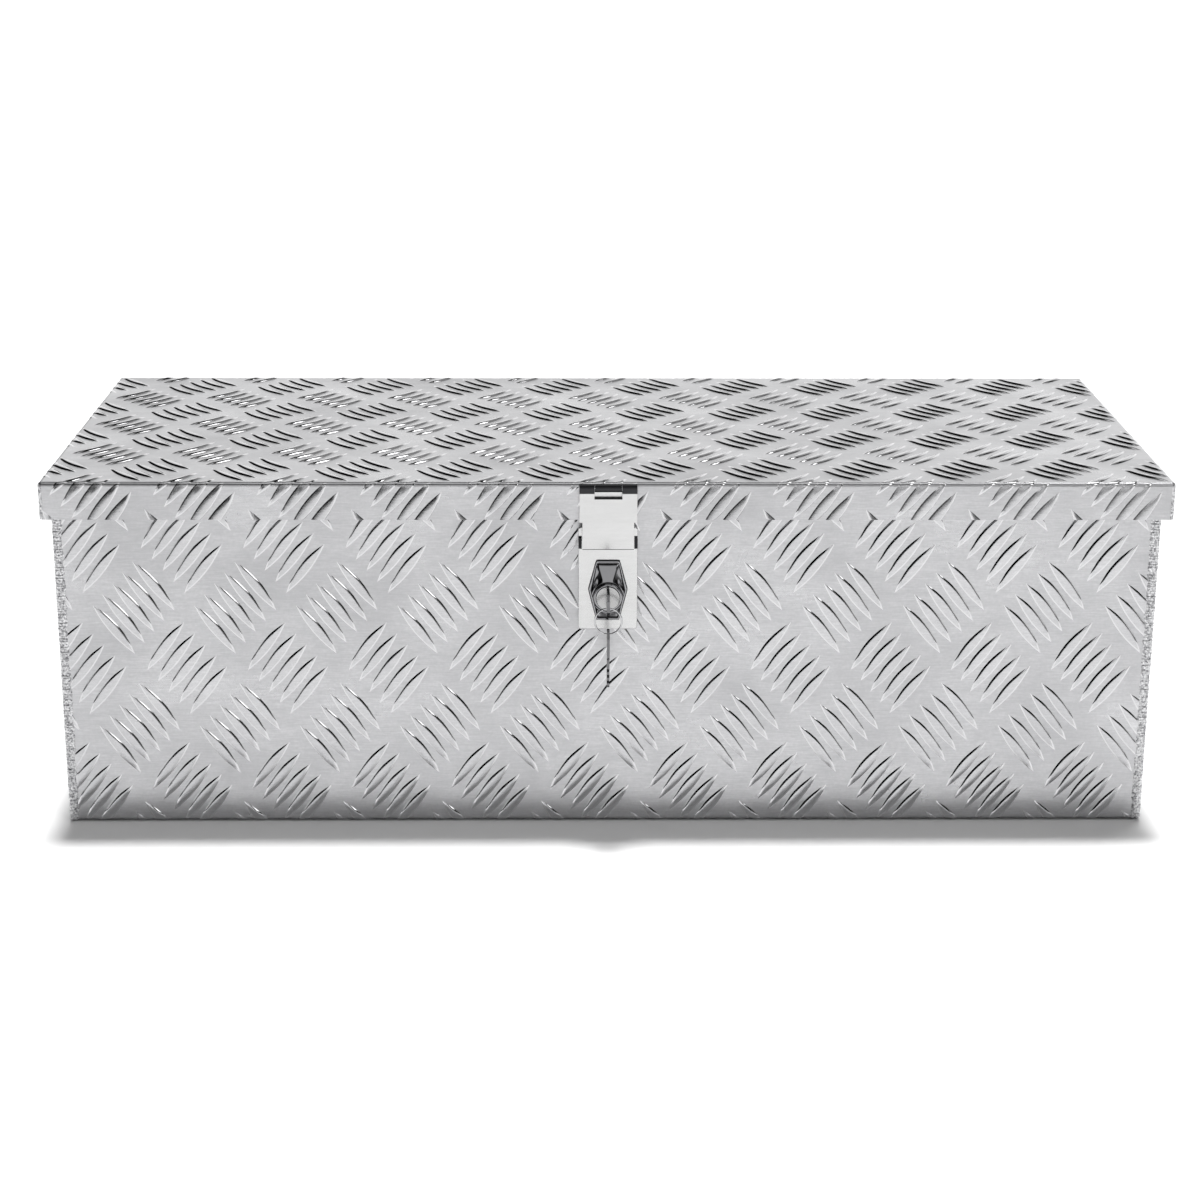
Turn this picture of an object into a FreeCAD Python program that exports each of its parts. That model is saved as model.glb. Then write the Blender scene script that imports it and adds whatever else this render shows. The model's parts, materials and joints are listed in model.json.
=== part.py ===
import FreeCAD, Part
import math
import os

import Sketcher

# Truck tool box: a folded tread-plate box with a hinged lid, a hasp latch with a
# key lock, two lid stays and a rubber rim seal.
# Frame: +Z up, the front faces -Y, the origin is the middle of the box's underside.

DIMENSIONS = {
    # box and lid
    "body_width": 746.0,
    "body_depth": 312.0,
    "overall_height": 245.0,
    "lid_width": 760.0,
    "lid_depth": 330.0,
    "lid_skirt": 25.5,
    "sheet": 2.0,
    "body_fold": 3.0,
    "lid_fold": 3.0,
    "lid_corner": 3.5,
    "rim_flange": 14.0,
    "weld_round": 1.3,
    "seal_width": 9.0,
    "seal_height": 3.7,
    "seal_gap": 0.3,
    "seal_round": 1.2,
    # back hinge
    "hinge_axis_y": 160.0,
    "hinge_axis_z": 216.0,
    "hinge_knuckle": 3.4,
    "hinge_pin_size": 1.6,
    "hinge_leaf_sheet": 1.2,
    "hinge_pitch": 25.0,
    "hinge_knuckles": 29.0,
    "hinge_body_drop": 26.0,
    "hinge_lid_rise": 21.0,
    "knuckle_gap": 0.3,
    "pivot_clearance": 0.05,
    "hinge_rivet_pitch": 96.0,
    # rivets
    "rivet_shank": 1.6,
    "rivet_head": 3.4,
    "rivet_dome": 1.3,
    "hole_clearance": 0.1,
    # latch
    "latch_axis_z": 242.3,
    "latch_knuckle": 2.75,
    "latch_pin_size": 1.2,
    "latch_sheet": 1.2,
    "latch_stand": 0.3,
    "latch_leaf_half": 19.0,
    "latch_leaf_foot": 3.5,
    "latch_rivet_x": 13.3,
    "latch_rivet_low_z": 227.5,
    "latch_rivet_high_z": 235.0,
    "latch_middle": 9.0,
    "flap_half": 19.3,
    "flap_step_z": 219.0,
    "flap_low_half": 17.3,
    "flap_bottom_z": 198.4,
    "flap_window_z": 235.0,
    "tab_sheet": 1.5,
    "tab_bottom_z": 201.0,
    "tab_top_z": 210.0,
    "tab_gap": 0.7,
    "base_half": 20.0,
    "base_top_z": 214.0,
    "base_bottom_z": 141.7,
    "base_depth": 6.7,
    "base_corner": 2.0,
    "base_edge": 1.0,
    "notch_bottom_z": 198.4,
    "boss_x": 8.5,
    "boss_far_x": 14.5,
    "boss_high_z": 196.5,
    "boss_low_z": 150.0,
    "boss_size": 2.6,
    "base_screw": 1.5,
    # lock
    "lock_z": 166.4,
    "housing_depth": 8.0,
    "housing_top_z": 191.5,
    "housing_waist_z": 171.0,
    "housing_foot_z": 149.8,
    "housing_top_half": 7.9,
    "housing_waist_half": 13.1,
    "housing_foot_half": 7.6,
    "housing_round": 2.2,
    "plug_size": 7.9,
    "plug_core": 5.2,
    "plug_face": 9.0,
    "plug_tail_y": -149.0,
    "cam_size": 9.0,
    "cam_throw": 3.5,
    "clip_margin": 2.6,
    "clip_sheet": 0.8,
    "clip_slot_half": 2.5,
    "bolt_sheet": 1.4,
    "bolt_y": -159.8,
    "bolt_low_z": 145.0,
    "bolt_high_z": 200.0,
    "bolt_frame_drop": 9.6,
    "bolt_frame_rise": 15.6,
    "bolt_nose_x": -1.75,
    "bolt_nose_margin": 2.5,
    # keys
    "key_sheet": 1.8,
    "key_blade": 20.0,
    "key_blade_half": 3.3,
    "bow_length": 20.0,
    "bow_half": 7.75,
    "bow_hole": 3.0,
    "ring_size": 9.0,
    "ring_wire": 0.6,
    # lid stays
    "stay_open_angle": 95.0,
    "stay_pivot_y": -110.0,
    "stay_pivot_z": 16.0,
    "stay_stud_y": -100.0,
    "stay_stud_z": -30.0,
    "stay_plane_x": 351.5,
    "stay_sheet": 2.0,
    "stay_half": 8.0,
    "stay_stud": 3.0,
    "stay_clearance": 0.3,
}

document = FreeCAD.newDocument("TruckToolBox")
sheet = document.addObject("Spreadsheet::Sheet", "Dims")
for row, (alias, number) in enumerate(DIMENSIONS.items(), start=1):
    sheet.set(f"A{row}", alias)
    sheet.set(f"B{row}", str(number))
    sheet.setAlias(f"B{row}", alias)
document.recompute()

subparts = []


class Size:
    """A length together with the sheet expression that drives it."""

    def __init__(self, value, text):
        self.value = value
        self.text = text

    @staticmethod
    def of(number):
        if isinstance(number, Size):
            return number
        return Size(float(number), repr(float(number)))

    def joined(self, other, sign, value):
        return Size(value, f"({self.text} {sign} {other.text})")

    def __add__(self, other):
        other = Size.of(other)
        return self.joined(other, "+", self.value + other.value)

    def __sub__(self, other):
        other = Size.of(other)
        return self.joined(other, "-", self.value - other.value)

    def __mul__(self, other):
        other = Size.of(other)
        return self.joined(other, "*", self.value * other.value)

    def __truediv__(self, other):
        other = Size.of(other)
        return self.joined(other, "/", self.value / other.value)

    def __radd__(self, other):
        return Size.of(other) + self

    def __rsub__(self, other):
        return Size.of(other) - self

    def __rmul__(self, other):
        return Size.of(other) * self

    def __neg__(self):
        return Size.of(-1) * self


def cell(alias):
    """The sheet's number under this alias, bound to its cell."""
    return Size(float(sheet.get(alias)), f"Dims.{alias}")


def bind(obj, prop, size):
    """Drives one property of an object from the sheet."""
    obj.setExpression(prop, Size.of(size).text)


def bind_place(obj, x, y, z):
    for letter, size in zip("xyz", (x, y, z)):
        bind(obj, f".Placement.Base.{letter}", size)


def finish(obj, label):
    """Names an object as one finished sub-part."""
    obj.Label = label
    subparts.append(obj)
    return obj


# ---------------------------------------------------------------- primitives
def block(x0, x1, y0, y1, z0, z1):
    """A box between two corners, given in either order along each axis."""
    spans = []
    for first, second in ((x0, x1), (y0, y1), (z0, z1)):
        first, second = Size.of(first), Size.of(second)
        spans.append((first, second) if first.value < second.value else (second, first))
    box = document.addObject("Part::Box", "Block")
    for prop, (low, high) in zip(("Length", "Width", "Height"), spans):
        bind(box, prop, high - low)
    bind_place(box, *(low for low, high in spans))
    return box


TURN = {
    "X": FreeCAD.Rotation(FreeCAD.Vector(0, 1, 0), 90),
    "Y": FreeCAD.Rotation(FreeCAD.Vector(1, 0, 0), -90),
    "Z": FreeCAD.Rotation(),
}


def rod(axis, x, y, z, radius, length):
    """A cylinder that runs from (x, y, z) toward +axis."""
    cylinder = document.addObject("Part::Cylinder", "Rod")
    bind(cylinder, "Radius", radius)
    bind(cylinder, "Height", length)
    cylinder.Placement = FreeCAD.Placement(FreeCAD.Vector(), TURN[axis])
    bind_place(cylinder, x, y, z)
    return cylinder


def fused(pieces):
    fuse = document.addObject("Part::MultiFuse", "Fuse")
    fuse.Shapes = pieces
    return fuse


def cut(base, tools):
    result = document.addObject("Part::Cut", "Cut")
    result.Base = base
    result.Tool = tools[0] if len(tools) == 1 else fused(tools)
    return result


# ---------------------------------------------------------------- plates
PLANE_ROLE = {"X": "YZ_Plane", "Y": "XZ_Plane", "Z": "XY_Plane"}
ORIGIN = (-1, 1)
H_AXIS = -1
V_AXIS = -2


def pin_point(sketch, geometry, position, u, v):
    """Holds one point of a sketch at (u, v), each driven from the sheet."""
    for size, kind, axis in ((u, "DistanceX", V_AXIS), (v, "DistanceY", H_AXIS)):
        size = Size.of(size)
        if abs(size.value) < 1e-9:
            sketch.addConstraint(Sketcher.Constraint("PointOnObject", geometry, position, axis))
            continue
        index = sketch.addConstraint(
            Sketcher.Constraint(kind, *ORIGIN, geometry, position, size.value)
        )
        sketch.setExpression(f"Constraints[{index}]", size.text)


def draw_outline(sketch, outline):
    """Draws a closed polygon and pins each of its corners."""
    flat = [FreeCAD.Vector(Size.of(u).value, Size.of(v).value, 0) for u, v in outline]
    count = len(flat)
    first = sketch.GeometryCount
    for index in range(count):
        sketch.addGeometry(Part.LineSegment(flat[index], flat[(index + 1) % count]), False)
    for index in range(count):
        here, following = first + index, first + (index + 1) % count
        sketch.addConstraint(Sketcher.Constraint("Coincident", here, 2, following, 1))
    for index, (u, v) in enumerate(outline):
        pin_point(sketch, first + index, 1, u, v)


def draw_circle(sketch, u, v, radius):
    centre = FreeCAD.Vector(Size.of(u).value, Size.of(v).value, 0)
    circle = Part.Circle(centre, FreeCAD.Vector(0, 0, 1), Size.of(radius).value)
    geometry = sketch.addGeometry(circle, False)
    index = sketch.addConstraint(Sketcher.Constraint("Radius", geometry, Size.of(radius).value))
    sketch.setExpression(f"Constraints[{index}]", Size.of(radius).text)
    pin_point(sketch, geometry, 3, u, v)


def plate(normal, low, thickness, outline, windows=(), circles=()):
    """A flat plate: an outline with windows and round holes, padded along normal.

    The outline lies in (Y, Z) for normal X, (X, Z) for Y and (X, Y) for Z. The
    plate fills low to low + thickness along the normal.
    """
    body = document.addObject("PartDesign::Body", "Body")
    sketch = body.newObject("Sketcher::SketchObject", "Outline")
    planes = body.Origin.OriginFeatures
    base = next(plane for plane in planes if plane.Role == PLANE_ROLE[normal])
    sketch.AttachmentSupport = [(base, "")]
    sketch.MapMode = "FlatFace"
    start = Size.of(low) if normal != "Y" else -(Size.of(low) + thickness)
    bind(sketch, ".AttachmentOffset.Base.z", start)
    draw_outline(sketch, outline)
    for window in windows:
        draw_outline(sketch, window)
    for u, v, radius in circles:
        draw_circle(sketch, u, v, radius)
    pad = body.newObject("PartDesign::Pad", "Pad")
    pad.Profile = sketch
    bind(pad, "Length", thickness)
    document.recompute()
    return body


def edges_where(shape, test):
    """The names of the edges whose middle point and direction pass the test."""
    names = []
    for index, edge in enumerate(shape.Edges, start=1):
        middle = edge.valueAt((edge.FirstParameter + edge.LastParameter) / 2)
        direction = edge.tangentAt((edge.FirstParameter + edge.LastParameter) / 2)
        if test(middle, direction):
            names.append(f"Edge{index}")
    return names


def rounded(body, radius, test):
    """Rounds the chosen edges of a body's newest feature."""
    fillet = body.newObject("PartDesign::Fillet", "Round")
    base = [feature for feature in body.Group if feature.isDerivedFrom("PartDesign::Feature")][-2]
    fillet.Base = (base, edges_where(base.Shape, test))
    bind(fillet, "Radius", radius)
    document.recompute()
    return body


def along(axis, direction):
    """True for an edge that runs along one axis."""
    return abs(getattr(direction, axis)) > 0.999


def rectangle(u0, u1, v0, v1):
    return [(u0, v0), (u1, v0), (u1, v1), (u0, v1)]


# ---------------------------------------------------------------- rivets
def rivet(axis, head_at, grip, outward):
    """A domed rivet whose head seats at head_at and whose grip runs inward.

    Args:
        axis: "X" or "Y", the line of the rivet.
        head_at: place of the head's flat underside, as an (x, y, z) triple.
        grip: thickness of the stack that it holds.
        outward: +1 or -1, the side of the head along the axis.
    """
    shank, head, dome = cell("rivet_shank"), cell("rivet_head"), cell("rivet_dome")
    tail_round, tail_rise = shank * 1.6, shank * 0.9
    step = {"X": (1, 0, 0), "Y": (0, 1, 0)}[axis]

    def moved(distance):
        return [Size.of(place) + distance * part for place, part in zip(head_at, step)]

    low = -grip - tail_rise if outward > 0 else Size.of(0)
    stem = rod(axis, *moved(low), shank, grip + tail_rise)
    tail_low = -grip - tail_rise if outward > 0 else grip
    tail = rod(axis, *moved(tail_low), tail_round, tail_rise)
    ball_size = (head * head + dome * dome) / (2 * dome)
    ball = document.addObject("Part::Sphere", "Dome")
    bind(ball, "Radius", ball_size)
    start = math.degrees(math.asin(1 - dome.value / ball_size.value))
    ball.Angle1 = start
    turn = TURN[axis]
    if outward < 0:
        turn = FreeCAD.Rotation(FreeCAD.Vector(0, 0, 1), 180).multiply(turn)
    ball.Placement = FreeCAD.Placement(FreeCAD.Vector(), turn)
    bind_place(ball, *moved((dome - ball_size) * outward))
    return fused([stem, tail, ball])


def group(label, pieces):
    """Several identical loose fasteners kept as separate solids of one sub-part."""
    compound = document.addObject("Part::Compound", "Group")
    compound.Links = pieces
    return finish(compound, label)


# ---------------------------------------------------------------- shared sizes
SHEET = cell("sheet")
HALF_X = cell("body_width") / 2
HALF_Y = cell("body_depth") / 2
WRAP_X = HALF_X - SHEET
LID_X = cell("lid_width") / 2
LID_Y = cell("lid_depth") / 2
TOP = cell("overall_height")
LID_LOW = TOP - cell("lid_skirt")
LID_UNDER = TOP - SHEET
BODY_TOP = LID_UNDER - cell("seal_gap") - cell("seal_height")
FLANGE = cell("rim_flange")
AXIS_Y = cell("hinge_axis_y")
AXIS_Z = cell("hinge_axis_z")
LATCH_AXIS_Y = -LID_Y - cell("latch_stand") - cell("latch_knuckle")
LATCH_AXIS_Z = cell("latch_axis_z")
BASE_FACE = -HALF_Y - cell("base_depth")
LOCK_Z = cell("lock_z")
HOLE = cell("rivet_shank") + cell("hole_clearance")
BASE_BOSSES = [
    (cell(side) * sign, cell(level))
    for side, sign in (("boss_x", -1), ("boss_far_x", 1))
    for level in ("boss_low_z", "boss_high_z")
]
SCREW_HOLE = cell("base_screw") + cell("hole_clearance")
HINGE_RIVET_X = [cell("hinge_rivet_pitch") * (step - 3.5) for step in range(8)]
BODY_RIVET_Z = AXIS_Z - cell("hinge_body_drop") + 8
LID_RIVET_Z = AXIS_Z + cell("hinge_lid_rise") - 7
LATCH_RIVETS = [
    (cell("latch_rivet_x") * side, cell(level))
    for side in (-1, 1) for level in ("latch_rivet_low_z", "latch_rivet_high_z")
]


def box_body():
    """The wrapped front, floor and back, the two end plates and their welds."""
    outer, inner = HALF_Y, HALF_Y - SHEET
    lip = HALF_Y - FLANGE
    profile = [
        (-outer, 0), (outer, 0), (outer, BODY_TOP), (lip, BODY_TOP), (lip, BODY_TOP - SHEET),
        (inner, BODY_TOP - SHEET), (inner, SHEET), (-inner, SHEET), (-inner, BODY_TOP - SHEET),
        (-lip, BODY_TOP - SHEET), (-lip, BODY_TOP), (-outer, BODY_TOP),
    ]
    wrap = plate("X", -WRAP_X, WRAP_X * 2, profile)
    fold = cell("body_fold")
    for half, low, high, radius in (
        (outer, Size.of(0), BODY_TOP, fold),
        (inner, SHEET, BODY_TOP - SHEET, fold - SHEET),
    ):
        rounded(wrap, radius, lambda p, d: along("x", d)
                and abs(abs(p.y) - half.value) < 0.01
                and min(abs(p.z - low.value), abs(p.z - high.value)) < 0.01)
    front = -HALF_Y - 1
    holes = [rod("Y", 0, front, LOCK_Z, cell("plug_core") + 0.4, SHEET + 2)]
    holes += [rod("Y", x, front, z, SCREW_HOLE, SHEET + 2) for x, z in BASE_BOSSES]
    back = HALF_Y - SHEET - 1
    holes += [rod("Y", x, back, BODY_RIVET_Z, HOLE, SHEET + 2) for x in HINGE_RIVET_X]
    finish(cut(wrap, holes), "body_wrap")

    for side, word in ((-1, "left"), (1, "right")):
        low_x = WRAP_X if side > 0 else -HALF_X
        wall = plate("X", low_x, SHEET, rectangle(-inner, inner, SHEET, BODY_TOP))
        rounded(wall, fold - SHEET, lambda p, d: along("x", d) and p.z < SHEET.value + 0.01)
        lip_plate = block(WRAP_X * side, (HALF_X - FLANGE) * side, -lip + 0.2, lip - 0.2,
                          BODY_TOP - SHEET, BODY_TOP)
        stud_hole = rod("X", low_x - 1, AXIS_Y + cell("stay_stud_y"), AXIS_Z + cell("stay_stud_z"),
                        cell("stay_stud") + cell("hole_clearance"), SHEET + 2)
        finish(cut(fused([wall, lip_plate]), [stud_hole]), f"end_plate_{word}")

        bead_profile = [
            (-outer, 0), (outer, 0), (outer, BODY_TOP), (inner, BODY_TOP),
            (inner, SHEET), (-inner, SHEET), (-inner, BODY_TOP), (-outer, BODY_TOP),
        ]
        bead = plate("X", low_x, SHEET, bead_profile)
        rounded(bead, fold, lambda p, d: along("x", d)
                and abs(abs(p.y) - outer.value) < 0.01 and p.z < 0.01)
        rounded(bead, fold - SHEET, lambda p, d: along("x", d)
                and abs(abs(p.y) - inner.value) < 0.01 and abs(p.z - SHEET.value) < 0.01)
        rounded(bead, cell("weld_round"), lambda p, d: abs(p.x - HALF_X.value * side) < 0.01
                and (abs(p.y) > inner.value + 0.5 or p.z < SHEET.value - 0.5)
                and p.z < BODY_TOP.value - 0.01)
        finish(bead, f"corner_weld_{word}")


def rim_seal():
    """A rubber strip that lies on the rim all the way round."""
    outer_x, outer_y = HALF_X - SHEET * 2, HALF_Y - SHEET * 2
    inner_x, inner_y = outer_x - cell("seal_width"), outer_y - cell("seal_width")
    seal = plate("Z", BODY_TOP, cell("seal_height"), rectangle(-outer_x, outer_x, -outer_y, outer_y),
                 windows=[rectangle(-inner_x, inner_x, -inner_y, inner_y)])
    rounded(seal, cell("seal_round"), lambda p, d: p.z > (BODY_TOP + cell("seal_height")).value - 0.01)
    finish(seal, "rim_seal")


def lid():
    """The lid tray with four skirts and its four dressed corner welds."""
    fold, corner = cell("lid_fold"), cell("lid_corner")

    def tray(inset, low, high, vertical, top_round):
        half_x, half_y = LID_X - inset, LID_Y - inset
        solid = plate("Z", low, high - low, rectangle(-half_x, half_x, -half_y, half_y))
        rounded(solid, vertical, lambda p, d: along("z", d))
        rounded(solid, top_round, lambda p, d: abs(p.z - high.value) < 0.01)
        return solid

    outer = tray(Size.of(0), LID_LOW, TOP, corner, fold)
    inner = tray(SHEET, LID_LOW - 5, LID_UNDER, corner - SHEET, fold - SHEET)
    shell = cut(outer, [inner])
    zones = [
        block(side * (LID_X - corner), side * (LID_X + 1), face * (LID_Y - corner), face * (LID_Y + 1),
              LID_LOW - 1, TOP - fold)
        for side in (-1, 1) for face in (-1, 1)
    ]
    zone = fused(zones)
    holes = [rod("Y", x, LID_Y - SHEET - 1, LID_RIVET_Z, HOLE, SHEET + 2) for x in HINGE_RIVET_X]
    holes += [rod("Y", x, -LID_Y - 1, z, HOLE, SHEET + 2) for x, z in LATCH_RIVETS]
    finish(cut(shell, [zone] + holes), "lid_panel")
    common = document.addObject("Part::MultiCommon", "Corners")
    common.Shapes = [shell, zone]
    finish(common, "lid_corner_welds")


def hinge():
    """A continuous hinge: two leaves with interleaved knuckles on one pin."""
    pitch, count = cell("hinge_pitch"), int(cell("hinge_knuckles").value)
    start = -pitch * count / 2
    length = pitch * count
    radius, pin, leaf = cell("hinge_knuckle"), cell("hinge_pin_size"), cell("hinge_leaf_sheet")
    gap = cell("knuckle_gap") / 2
    clear = radius + 0.4
    bore = rod("X", start - 1, AXIS_Y, AXIS_Z, pin + cell("pivot_clearance"), length + 2)
    leaves = {
        0: ("hinge_body_leaf", HALF_Y, AXIS_Z - cell("hinge_body_drop"), AXIS_Z - clear),
        1: ("hinge_lid_leaf", LID_Y - SHEET - leaf, AXIS_Z + clear, AXIS_Z + cell("hinge_lid_rise")),
    }
    for turn, (label, face, low, high) in leaves.items():
        pieces = [block(start, start + length, face, face + leaf, low, high)]
        for index in range(turn, count, 2):
            left = start + pitch * index + gap
            width = pitch - gap * 2
            pieces.append(rod("X", left, AXIS_Y, AXIS_Z, radius, width))
            root = high - 1 if turn == 0 else low + 1
            pieces.append(block(left, left + width, face, face + leaf, root, AXIS_Z))
        rivet_z = BODY_RIVET_Z if turn == 0 else LID_RIVET_Z
        holes = [rod("Y", x, face - 1, rivet_z, HOLE, leaf + 2) for x in HINGE_RIVET_X]
        finish(cut(fused(pieces), [bore] + holes), label)

    head = cell("hinge_pin_size") * 1.5
    pin_rod = rod("X", start - 0.2, AXIS_Y, AXIS_Z, pin, length + 0.4)
    ends = [rod("X", x, AXIS_Y, AXIS_Z, head, 1) for x in (start - 1.2, start + length + 0.2)]
    finish(fused([pin_rod] + ends), "hinge_pin")
    group("hinge_body_rivets",
          [rivet("Y", (x, HALF_Y + leaf, BODY_RIVET_Z), SHEET + leaf, 1) for x in HINGE_RIVET_X])
    group("hinge_lid_rivets",
          [rivet("Y", (x, LID_Y, LID_RIVET_Z), SHEET + leaf, 1) for x in HINGE_RIVET_X])


def latch_hinge_side():
    """The fixed leaf on the lid's front skirt with the middle knuckle, and its pin."""
    half, middle = cell("latch_leaf_half"), cell("latch_middle")
    thick, radius = cell("latch_sheet"), cell("latch_knuckle")
    shoulder = LATCH_AXIS_Z - radius - 0.4
    foot = LID_LOW + cell("latch_leaf_foot")
    outline = [
        (-half, foot), (half, foot), (half, shoulder), (middle, shoulder),
        (middle, LATCH_AXIS_Z), (-middle, LATCH_AXIS_Z), (-middle, shoulder), (-half, shoulder),
    ]
    face = plate("Y", -LID_Y - thick, thick, outline)
    knuckle = rod("X", -middle, LATCH_AXIS_Y, LATCH_AXIS_Z, radius, middle * 2)
    bore = rod("X", -middle - 1, LATCH_AXIS_Y, LATCH_AXIS_Z,
               cell("latch_pin_size") + cell("pivot_clearance"), middle * 2 + 2)
    holes = [rod("Y", x, -LID_Y - thick - 1, z, HOLE, thick + 2) for x, z in LATCH_RIVETS]
    finish(cut(fused([face, knuckle]), [bore] + holes), "latch_leaf")
    pieces = [rivet("Y", (x, -LID_Y - thick, z), thick + SHEET, -1) for x, z in LATCH_RIVETS]
    group("latch_leaf_rivets", pieces)
    flap_half = cell("flap_half")
    finish(rod("X", -flap_half, LATCH_AXIS_Y, LATCH_AXIS_Z, cell("latch_pin_size"), flap_half * 2),
           "latch_pin")


def latch_flap():
    """The swinging hasp flap: two outer knuckles, a slanted foot and a catch tab."""
    half, low_half, thick = cell("flap_half"), cell("flap_low_half"), cell("latch_sheet")
    radius, middle = cell("latch_knuckle"), cell("latch_middle") + cell("knuckle_gap")
    front = LATCH_AXIS_Y - radius
    step_z, bottom_z = cell("flap_step_z"), cell("flap_bottom_z")
    foot_front = BASE_FACE - 0.5 - thick
    upper = block(-half, half, front, front + thick, step_z, LATCH_AXIS_Z)
    foot = plate("X", -low_half, low_half * 2, [
        (front, step_z + 1), (front, step_z), (foot_front, bottom_z), (foot_front + thick, bottom_z),
        (front + thick, step_z), (front + thick, step_z + 1),
    ])
    knuckles = rod("X", -half, LATCH_AXIS_Y, LATCH_AXIS_Z, radius, half * 2)
    tab_end = -HALF_Y - cell("tab_gap")
    tab_low, tab_high = cell("tab_bottom_z"), cell("tab_top_z")
    slot_low, slot_high = cell("bolt_y") - 0.5, cell("bolt_y") + cell("bolt_sheet") + 0.5
    lean = (foot_front - front) / (step_z - bottom_z)

    def foot_middle(level):
        """The middle of the slanted foot's thickness at one height."""
        return front + thick / 2 + lean * (step_z - level)

    tab = plate("X", -cell("tab_sheet") / 2, cell("tab_sheet"), [
        (foot_middle(tab_low), tab_low), (tab_end, tab_low), (tab_end, tab_high),
        (foot_middle(tab_high), tab_high),
    ], windows=[rectangle(slot_low, slot_high, tab_low + 2, tab_high - 2)])
    window = block(-middle, middle, front - 1, -LID_Y, cell("flap_window_z"), LATCH_AXIS_Z + radius + 1)
    bore = rod("X", -half - 1, LATCH_AXIS_Y, LATCH_AXIS_Z,
               cell("latch_pin_size") + cell("pivot_clearance"), half * 2 + 2)
    finish(cut(fused([upper, foot, knuckles, tab]), [window, bore]), "latch_flap")


def latch_base():
    """The pressed tray that carries the lock, its screws and the lock housing."""
    half, thick = cell("base_half"), cell("latch_sheet")
    low, high, depth = cell("base_bottom_z"), cell("base_top_z"), cell("base_depth")
    outer = plate("Y", BASE_FACE, depth, rectangle(-half, half, low, high))
    rounded(outer, cell("base_corner"), lambda p, d: along("y", d))
    rounded(outer, cell("base_edge"), lambda p, d: abs(p.y - BASE_FACE.value) < 0.01)
    inner = block(-half + thick, half - thick, BASE_FACE + thick, -HALF_Y + 1, low + thick, high - thick)
    notch_half = cell("tab_sheet") / 2 + 1
    notch = block(-notch_half, notch_half, BASE_FACE - 1, -HALF_Y + 1, cell("notch_bottom_z"), high + 1)
    plug_hole = rod("Y", 0, BASE_FACE - 1, LOCK_Z, cell("plug_core") + 0.06, thick + 2)
    pan = cut(outer, [inner, notch, plug_hole])
    bosses = [
        rod("Y", x, BASE_FACE + thick / 2, z, cell("boss_size"), depth - thick / 2)
        for x, z in BASE_BOSSES
    ]
    bores = [rod("Y", x, BASE_FACE + thick, z, SCREW_HOLE - 0.05, depth) for x, z in BASE_BOSSES]
    finish(cut(fused([pan] + bosses), bores), "latch_base")

    screw = cell("base_screw")
    screws = []
    for x, z in BASE_BOSSES:
        shank = rod("Y", x, BASE_FACE + thick + 0.4, z, screw, depth - thick - 0.4 + SHEET)
        head = rod("Y", x, -HALF_Y + SHEET, z, screw * 1.9, 1.8)
        screws.append(fused([shank, head]))
    group("latch_base_screws", screws)

    levels = [(cell(f"housing_{name}_half"), cell(f"housing_{name}_z")) for name in ("top", "waist", "foot")]
    outline = [(-x, z) for x, z in levels] + [(x, z) for x, z in levels[::-1]]
    housing_depth = cell("housing_depth")
    housing = plate("Y", BASE_FACE - housing_depth, housing_depth, outline,
                    circles=[(0, LOCK_Z, cell("plug_size") + 0.06)])
    face = (BASE_FACE - housing_depth).value
    reach = cell("plug_size").value + 0.7
    rounded(housing, cell("housing_round"), lambda p, d: abs(p.y - face) < 0.01
            and max(abs(p.x), abs(p.z - LOCK_Z.value)) > reach)
    finish(housing, "lock_housing")


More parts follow.
